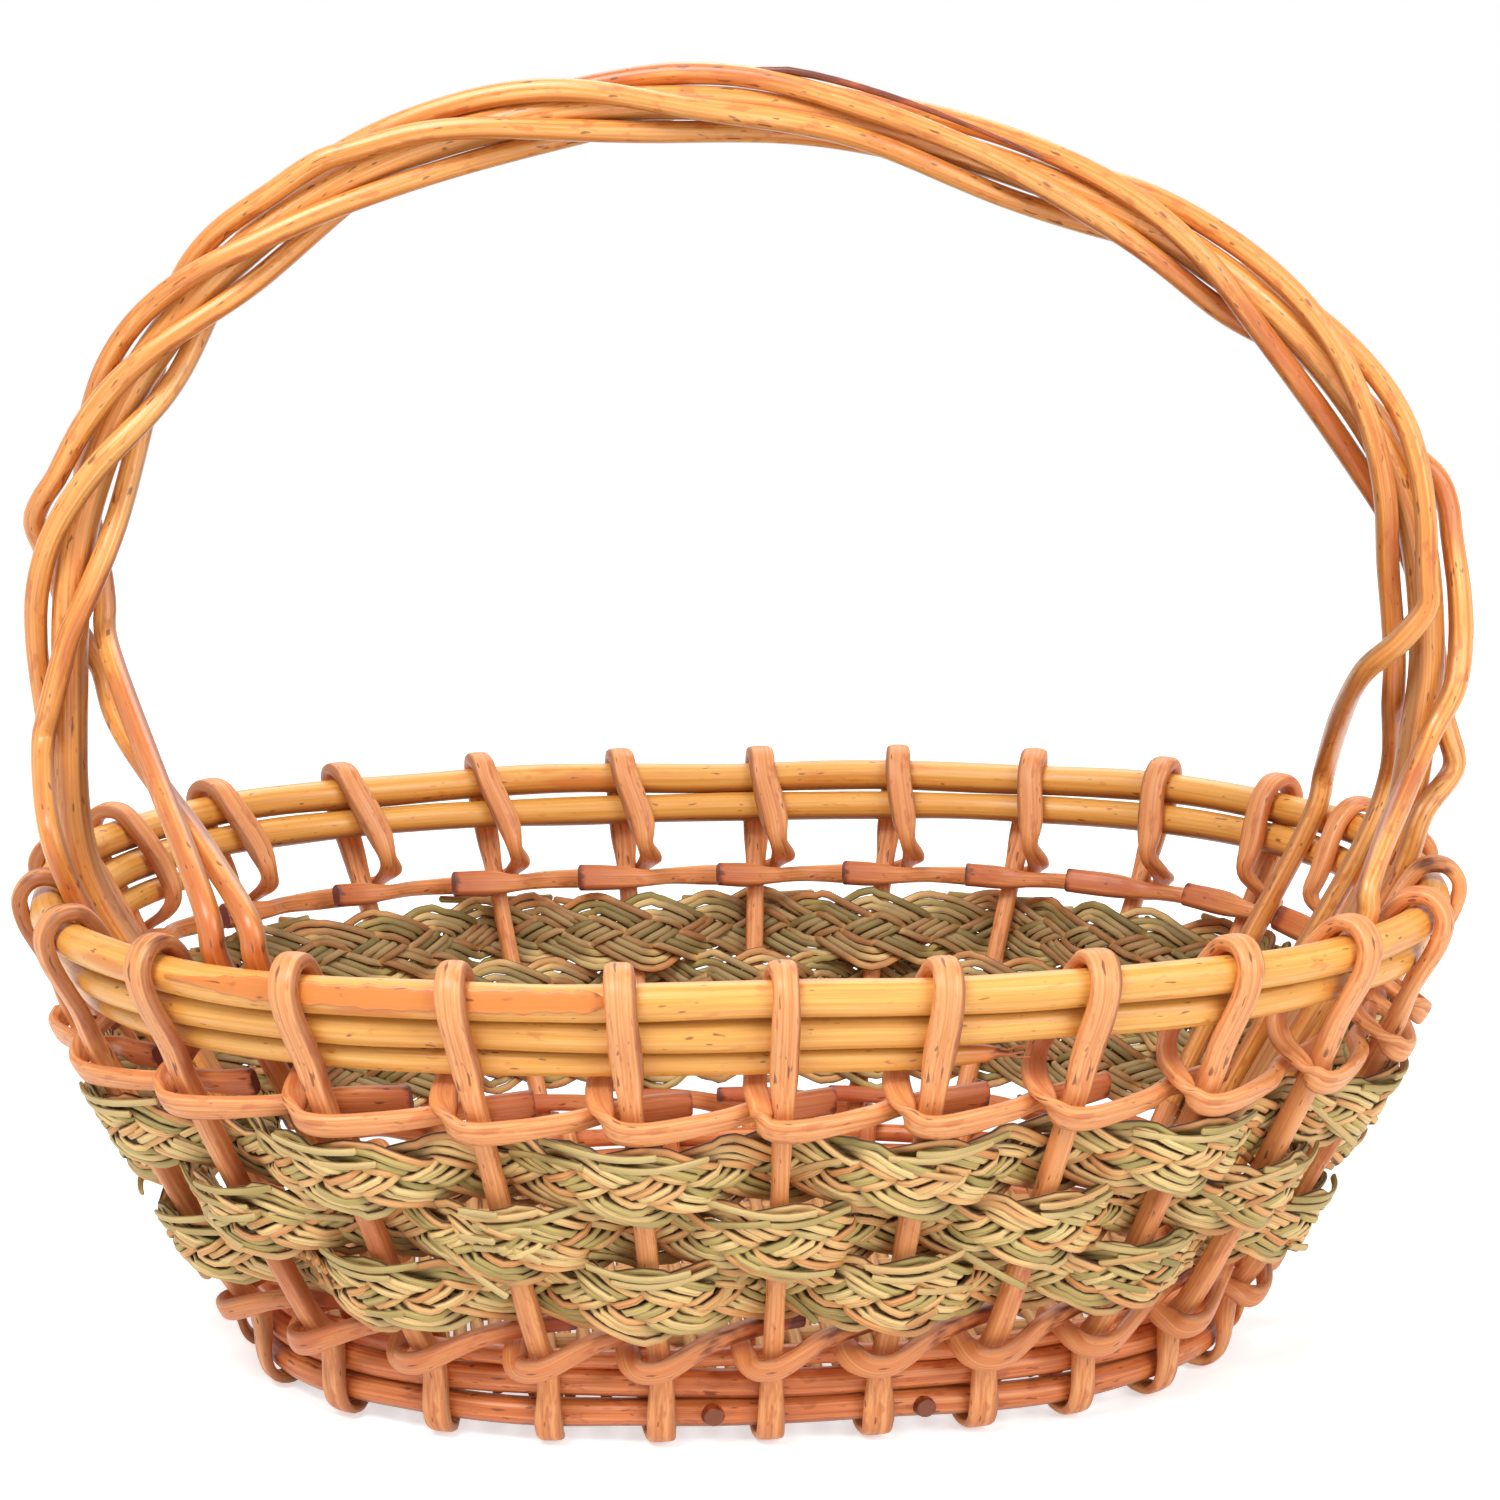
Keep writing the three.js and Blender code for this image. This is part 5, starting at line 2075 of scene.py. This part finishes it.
@dataclass
class FloorMat:
    """The woven floor: long sticks and close rods that go over and under them."""

    wall: OvalWall
    stick_r: float = 2.6
    rod_r: float = 2.0
    z: float = 12.5
    rod_pitch: float = 5.0
    swing_share: float = 0.62
    stick_steps: int = 24
    rod_steps: int = 60
    stick_uprights: tuple[int, ...] = (11, 12, 13, 14, 15)
    seed: int = 211

    @property
    def edge(self) -> float:
        """How far the mat stays inside the base hoops' middle."""
        sizes = self.wall.sizes
        return sizes.base_hoop_r + sizes.gap + 2 * sizes.tail_r

    def reach(self, offset: float, across: float, along: float) -> float:
        """Half the length of a straight line across the floor.

        Args:
            offset: The line's distance from the floor's middle.
            across: Half the floor across the line.
            along: Half the floor along it.

        Returns:
            Half the line's length.
        """
        power = self.wall.sizes.squareness
        rest = max(0.0, 1 - abs(offset / (across - self.edge)) ** power)
        return (along - self.edge) * rest ** (1 / power)

    def sticks(self) -> list[float]:
        """Each stick's distance across the floor."""
        places = self.wall.upright_place(np.array(self.stick_uprights))
        return [float(y) for y in self.wall.point(places, 0.0, self.z)[:, 1]]

    def stick(self, y: float) -> Rod:
        """Lays one stick along the floor.

        Args:
            y: How far back it is.

        Returns:
            An open rod.
        """
        sizes = self.wall.sizes
        reach = self.reach(y, sizes.base_half_width, sizes.base_half_length)
        x = np.linspace(-reach, reach, self.stick_steps)
        points = np.stack([x, np.full_like(x, y), np.full_like(x, self.z)], axis=1)
        return Rod(points, self.stick_r, self.stick_r, UP)

    def rods(self) -> list[Rod]:
        """Lays the rods that cross the sticks, one after another over and under.

        Returns:
            Open rods.
        """
        sizes = self.wall.sizes
        swing = (self.stick_r + self.rod_r) * self.swing_share
        half = self.reach(0.0, sizes.base_half_width, sizes.base_half_length)
        count = int((half - self.rod_pitch) / self.rod_pitch)
        ys = np.sort(self.sticks())
        made = []
        rng = np.random.default_rng(self.seed)
        for number in range(-count, count + 1):
            x = number * self.rod_pitch
            reach = self.reach(x, sizes.base_half_length, sizes.base_half_width)
            y = np.linspace(-reach, reach, self.rod_steps)
            lift = np.interp(y, ys, np.where(np.arange(len(ys)) % 2, 1.0, -1.0))
            wave = np.sin(lift * np.pi / 2) * (1 if number % 2 else -1) * swing
            points = np.stack([np.full_like(y, x), y, self.z + wave], axis=1)
            made.append(Rod(points, self.rod_r, self.rod_r, np.array([1.0, 0.0, 0.0]),
                            tone=rng.random()))
        return made

    def build(self) -> None:
        """Makes and settles the floor."""
        material = FLOOR_FINISH.build()
        for number, y in enumerate(self.sticks()):
            make_rods(f"floor_stick_rod_{number + 1}", [self.stick(y)], material,
                      Slot.FLOOR, f"floor_stick_{number + 1}", sides=12)
        make_rods("floor_mat_rods", self.rods(), material, Slot.FLOOR, "floor_weaver",
                  sides=8)


@dataclass
class Studio:
    """A white studio: pale floor, soft lamps and the camera of the photograph."""

    yaw: float = math.radians(5)
    elevation: float = math.radians(13.1)
    distance: float = 1050.0
    target_z: float = 136.0
    lens: float = 85.44
    sensor: float = 36.0
    target_px: Pair = (740.0, 874.0)
    sky: float = 0.36
    paper: str = "#efefef"
    paper_glow: float = 0.56
    floor_half: float = 2.0
    floor_z: float = -0.0009

    # Lamps: name, place and side in metres, power in watts
    LAMPS = (("key", (-0.8, -1.2, 2.0), 1.0, 40.0), ("fill", (1.2, -1.5, 1.2), 1.2, 20.0),
             ("back", (0.2, 1.2, 1.7), 1.2, 14.0))

    def aim(self, name: str, data: bpy.types.ID, place: Vector) -> bpy.types.Object:
        """Places a camera or lamp so that it looks at the basket.

        Args:
            name: Its name.
            data: Its data.
            place: Where it is, in metres.

        Returns:
            The new object.
        """
        thing = bpy.data.objects.new(name, data)
        look = Vector((0, 0, self.target_z)) * MM - place
        thing.matrix_world = Matrix.Translation(place) @ look.to_track_quat(
            "-Z", "Y").to_matrix().to_4x4()
        bpy.context.scene.collection.objects.link(thing)
        return thing

    def camera(self) -> None:
        """Places the camera and makes it the scene's own."""
        data = bpy.data.cameras.new("camera")
        data.lens = self.lens
        data.sensor_width = self.sensor
        middle = FRAME_PIXELS / 2
        data.shift_x = (middle - self.target_px[0]) / FRAME_PIXELS
        data.shift_y = (self.target_px[1] - middle) / FRAME_PIXELS
        flat = self.distance * math.cos(self.elevation)
        bpy.context.scene.camera = self.aim("camera", data, Vector((
            -flat * math.sin(self.yaw), -flat * math.cos(self.yaw),
            self.target_z + self.distance * math.sin(self.elevation))) * MM)

    def lamps(self) -> None:
        """Hangs the square lamps."""
        for name, place, side, power in self.LAMPS:
            data = bpy.data.lights.new(name, "AREA")
            data.size = side
            data.energy = power
            self.aim(name, data, Vector(place))

    def start(self, tree: Tree) -> Graph:
        """Empties a tree and gives it a share that is 1 for all but diffuse light.

        Args:
            tree: The shader tree.

        Returns:
            The tree, with that share named looked at.
        """
        tree.nodes.clear()
        path = add_node(tree, "ShaderNodeLightPath")
        graph = Graph(tree, {name: path.outputs[f"Is {name} Ray"]
                             for name in ("Camera", "Glossy", "Transmission")})
        graph.add(("first", MATH, "MAXIMUM", "Camera", "Glossy"),
                  ("looked at", MATH, "MAXIMUM", "first", "Transmission"))
        return graph

    def world(self) -> None:
        """Sets a world that is white to look at and soft as a light."""
        world = bpy.data.worlds.new("studio")
        world.use_nodes = True
        graph = self.start(world.node_tree)
        graph.add(("strength", MAP_RANGE, None, "looked at", None, None, self.sky, 1.0),
                  ("back", "ShaderNodeBackground", None, (1, 1, 1, 1), "strength"))
        graph.end("ShaderNodeOutputWorld", "Surface", "back")
        bpy.context.scene.world = world

    def floor(self) -> None:
        """Lays a pale floor that looks white and keeps the basket's shadow."""
        mesh = bpy.data.meshes.new("studio_floor")
        corners = ((-1, -1), (1, -1), (1, 1), (-1, 1))
        mesh.from_pydata([(x * self.floor_half, y * self.floor_half, self.floor_z)
                          for x, y in corners], [], [(0, 1, 2, 3)])
        material = bpy.data.materials.new("Matt white paper")
        material.use_nodes = True
        graph = self.start(material.node_tree)
        graph.add(("paper", "ShaderNodeBsdfDiffuse", None, linear(self.paper)),
                  ("strength", MATH, "MULTIPLY", "looked at", self.paper_glow),
                  ("glow", "ShaderNodeEmission", None, (1, 1, 1, 1), "strength"),
                  ("both", "ShaderNodeAddShader", None, "paper", "glow"))
        graph.end("ShaderNodeOutputMaterial", "Surface", "both")
        mesh.materials.append(material)
        floor = bpy.data.objects.new("studio_floor", mesh)
        bpy.context.scene.collection.objects.link(floor)

    def build(self) -> None:
        """Sets the camera, lamps, world and floor."""
        self.camera()
        self.lamps()
        self.world()
        self.floor()
        bpy.context.scene.view_settings.view_transform = "Standard"


def main() -> None:
    """Builds the basket around the frame."""
    logging.basicConfig(level=logging.INFO, format="%(name)s: %(message)s")
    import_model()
    Studio().build()
    wall = OvalWall(BasketSizes())
    RimHoops(wall).build()
    BaseHoops(wall).build()
    Uprights(wall).build()
    PlaitedRows(wall).build()
    TwistedHandle(wall).build()
    FloorMat(wall).build()


if __name__ == "__main__":
    main()
